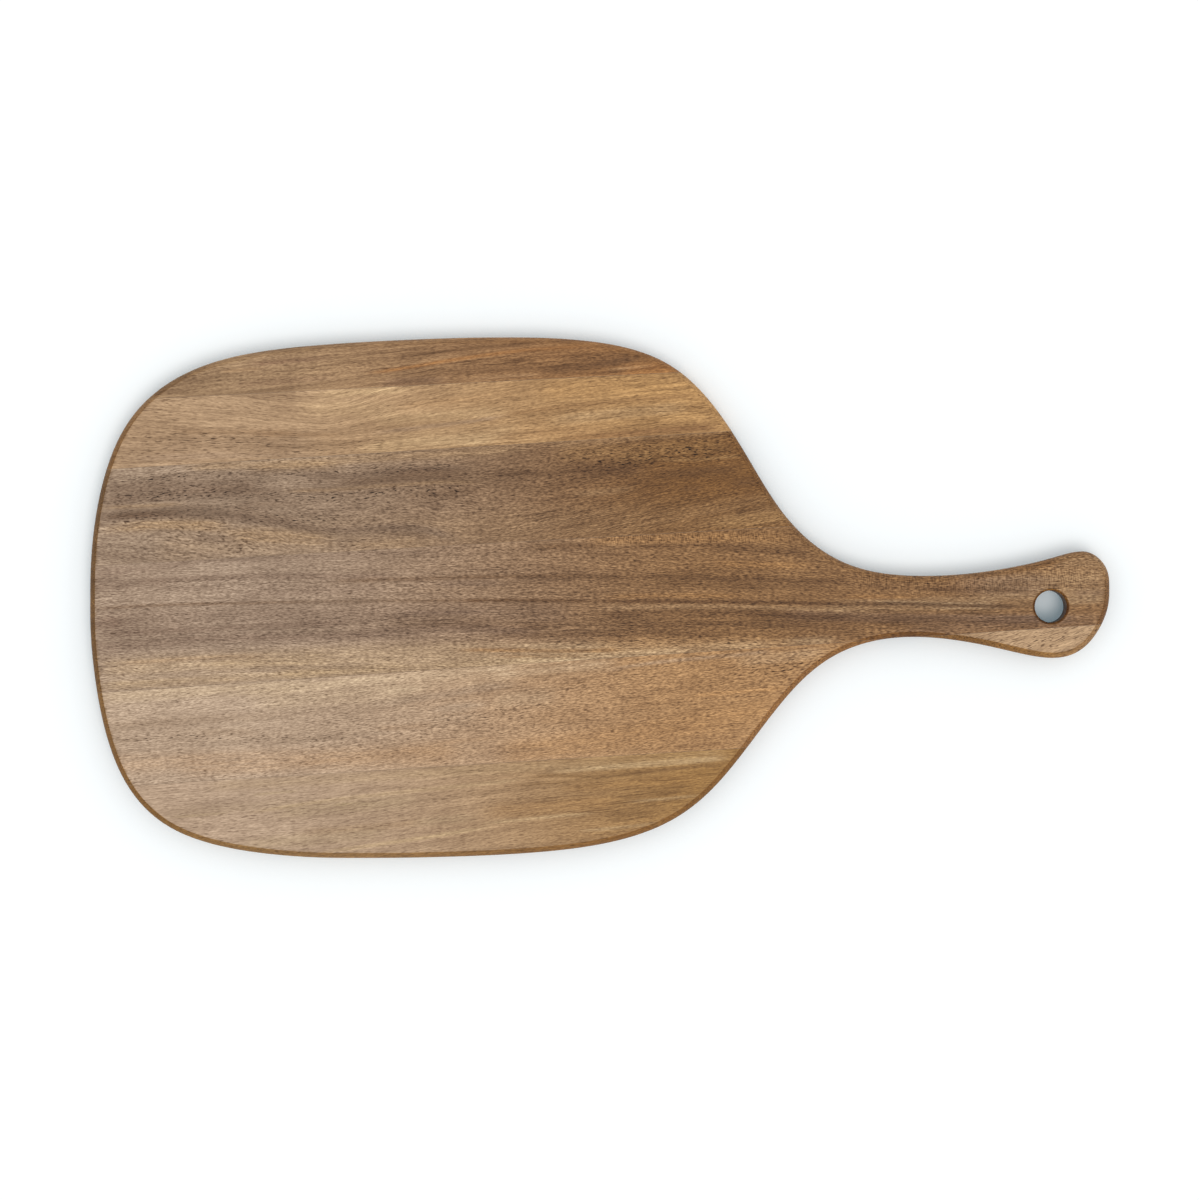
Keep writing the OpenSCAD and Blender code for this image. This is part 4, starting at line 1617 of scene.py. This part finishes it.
class AddGlueLines(bpy.types.Operator):
    """Add the cured glue in the six joints"""

    bl_idname = "board.glue_lines"
    bl_label = "Glue lines"

    def execute(self, context):
        board = Board(context.scene.board_sizes)
        finish = cured_glue(context.scene.stage_colours.glue)
        joints = (
            ("upper_glue_line", board.upper_joint, 0),
            ("pale_glue_line", board.pale_joint, 0),
            ("handle_upper_glue_line", board.handle_upper_joint, 0),
            ("handle_lower_glue_line", board.handle_lower_joint, 0),
            ("bottom_glue_line", board.bottom_joint, 0),
            ("tip_glue_line", board.handle_lower_joint, 1),
        )
        for name, joint, part in joints:
            low = joint.moved(-board.glue / 2)
            high = joint.moved(board.glue / 2)
            piece = strip_shell(board, low, high, GLUE_STEP_ALONG, board.glue, part).sewn(name)
            piece.data.materials.append(finish)
            set_in_place(piece, name, "glue")
        return {"FINISHED"}


# The camera looks straight down. The frame's middle and height lie in the plane where the rim is widest.
CAMERA_HEIGHT = 1.7
CAMERA_X = -0.15 * MM
CAMERA_Y = -1.15 * MM
FRAME_HEIGHT = 0.5993

# The floor lies just under the board. It is faintly uneven, and glows a little where it is seen.
FLOOR_SIZE = 12.0
FLOOR_STEPS = 8
FLOOR_DROP = 0.05 * MM
FLOOR_GLOW = 0.1
FLOOR_UNEVEN_SIZE = (0.4, 0.4, 0.4)
FLOOR_LIGHTER = 1.01

# An even light all round, and a soft light from above, a little to the lower right
SKY_STRENGTH = 0.83
LAMP_STRENGTH = 0.78
LAMP_BREADTH = math.radians(30)
LAMP_TURN = (math.radians(19), math.radians(12), 0)


def floor_grid():
    """A square floor: a flat grid of x and y from minus to plus half its size."""
    ticks = np.linspace(-FLOOR_SIZE / 2, FLOOR_SIZE / 2, FLOOR_STEPS + 1)
    x, y = np.meshgrid(ticks, ticks)
    points = np.stack([x, y, np.full_like(x, -FLOOR_DROP)], axis=-1).reshape(-1, 3)
    index = np.arange(len(points)).reshape(x.shape)
    mesh = bpy.data.meshes.new("floor")
    mesh.from_pydata(points.tolist(), [], squares(index).tolist())
    return mesh


def seen_directly(finish):
    """Share of a ray that the camera, a reflection or a clear body sees, rather than one that lights."""
    path = finish.node("ShaderNodeLightPath")
    seen = finish.math("MAXIMUM", path.outputs["Is Camera Ray"], path.outputs["Is Glossy Ray"])
    return finish.math("MAXIMUM", seen, path.outputs["Is Transmission Ray"])


def pale_floor(floor_colour, glow_colour):
    """Matt pale floor, faintly uneven, that keeps the board's shadow, with a faint glow where it is seen."""
    finish = Finish(bpy.data.materials.new("pale_floor"))
    place = finish.node("ShaderNodeTexCoord").outputs["Object"]
    uneven = finish.noise(place, FLOOR_UNEVEN_SIZE, UNEVEN_DETAIL)
    share = finish.ramp(uneven, UNEVEN_LOW, UNEVEN_HIGH)
    lighter = rgba([min(1.0, FLOOR_LIGHTER * part) for part in floor_colour])
    matt = finish.node("ShaderNodeBsdfDiffuse")
    finish.feed(matt.inputs["Color"], finish.mixed(share, rgba(floor_colour), lighter))
    glow = finish.node("ShaderNodeEmission")
    glow.inputs["Color"].default_value = rgba(glow_colour)
    finish.feed(glow.inputs["Strength"], finish.math("MULTIPLY", seen_directly(finish), FLOOR_GLOW))
    both = finish.fed(finish.node("ShaderNodeAddShader"), matt.outputs[0], glow.outputs[0])
    return finish.surface(both)


def even_light(sky_colour, backdrop_colour):
    """Even light all round, which the camera, a reflection or a clear body sees as the backdrop."""
    finish = Finish(bpy.data.worlds.new("even_light"))
    even = finish.node("ShaderNodeBackground")
    even.inputs["Color"].default_value = rgba(sky_colour)
    even.inputs["Strength"].default_value = SKY_STRENGTH
    backdrop = finish.node("ShaderNodeBackground")
    backdrop.inputs["Color"].default_value = rgba(backdrop_colour)
    blend = finish.node("ShaderNodeMixShader")
    finish.fed(blend, seen_directly(finish), even.outputs[0], backdrop.outputs[0])
    return finish.surface(blend, "ShaderNodeOutputWorld")


class SetStage(bpy.types.Operator):
    """Set up the floor, the camera and the soft light"""

    bl_idname = "board.stage"
    bl_label = "Stage"

    def execute(self, context):
        scene = context.scene
        colours = scene.stage_colours
        scene.view_settings.view_transform = "Standard"

        floor = bpy.data.objects.new("floor", floor_grid())
        floor.data.materials.append(pale_floor(colours.floor, colours.glow))
        scene.collection.objects.link(floor)

        lens = bpy.data.cameras.new("overhead_camera")
        lens.lens = lens.sensor_width * CAMERA_HEIGHT / FRAME_HEIGHT
        camera = bpy.data.objects.new("overhead_camera", lens)
        widest = scene.board_sizes.board_t - scene.board_sizes.edge_r
        camera.location = (CAMERA_X, CAMERA_Y, widest + CAMERA_HEIGHT)
        scene.collection.objects.link(camera)
        scene.camera = camera

        lamp = bpy.data.lights.new("soft_light", "SUN")
        lamp.energy = LAMP_STRENGTH
        lamp.angle = LAMP_BREADTH
        soft_light = bpy.data.objects.new("soft_light", lamp)
        soft_light.rotation_euler = LAMP_TURN
        scene.collection.objects.link(soft_light)

        scene.world = even_light(colours.sky, colours.backdrop)
        return {"FINISHED"}


OPERATORS = (
    AddTopEdgeStave, AddPaleStave, AddFiguredStave, AddHandleStave, AddLowerStave, AddBottomEdgeStave,
    AddHandleTipPiece, AddGlueLines, SetStage,
)

# Property groups of the scene
GROUPS = {
    "board_sizes": BoardSizes,
    "top_edge_colours": TopEdgeColours,
    "pale_colours": PaleColours,
    "figured_colours": FiguredColours,
    "handle_colours": HandleColours,
    "lower_colours": LowerColours,
    "bottom_edge_colours": BottomEdgeColours,
    "tip_colours": TipColours,
    "stage_colours": StageColours,
}


class BoardPanel(bpy.types.Panel):
    """Sizes, colours and pieces of the board"""

    bl_idname = "VIEW3D_PT_board"
    bl_label = "Paddle board"
    bl_space_type = "VIEW_3D"
    bl_region_type = "UI"
    bl_category = "Board"

    def draw(self, context):
        for group_name, group in GROUPS.items():
            box = self.layout.box()
            box.label(text=group.__doc__)
            for property_name in group.__annotations__:
                box.prop(getattr(context.scene, group_name), property_name)
        for operator in OPERATORS:
            self.layout.operator(operator.bl_idname)


def register():
    """Registers the classes and hangs the property groups on the scene."""
    for group_name, group in GROUPS.items():
        bpy.utils.register_class(group)
        setattr(bpy.types.Scene, group_name, bpy.props.PointerProperty(type=group))
    for operator in OPERATORS:
        bpy.utils.register_class(operator)
    bpy.utils.register_class(BoardPanel)


def unregister():
    """Takes the classes and the property groups away again."""
    bpy.utils.unregister_class(BoardPanel)
    for operator in reversed(OPERATORS):
        bpy.utils.unregister_class(operator)
    for group_name, group in reversed(GROUPS.items()):
        delattr(bpy.types.Scene, group_name)
        bpy.utils.unregister_class(group)


def main():
    """Builds the board on its stage."""
    register()
    bpy.ops.board.stage()
    bpy.ops.board.top_edge_stave()
    bpy.ops.board.pale_stave()
    bpy.ops.board.figured_stave()
    bpy.ops.board.handle_stave()
    bpy.ops.board.lower_stave()
    bpy.ops.board.bottom_edge_stave()
    bpy.ops.board.handle_tip_piece()
    bpy.ops.board.glue_lines()


if __name__ == "__main__":
    main()
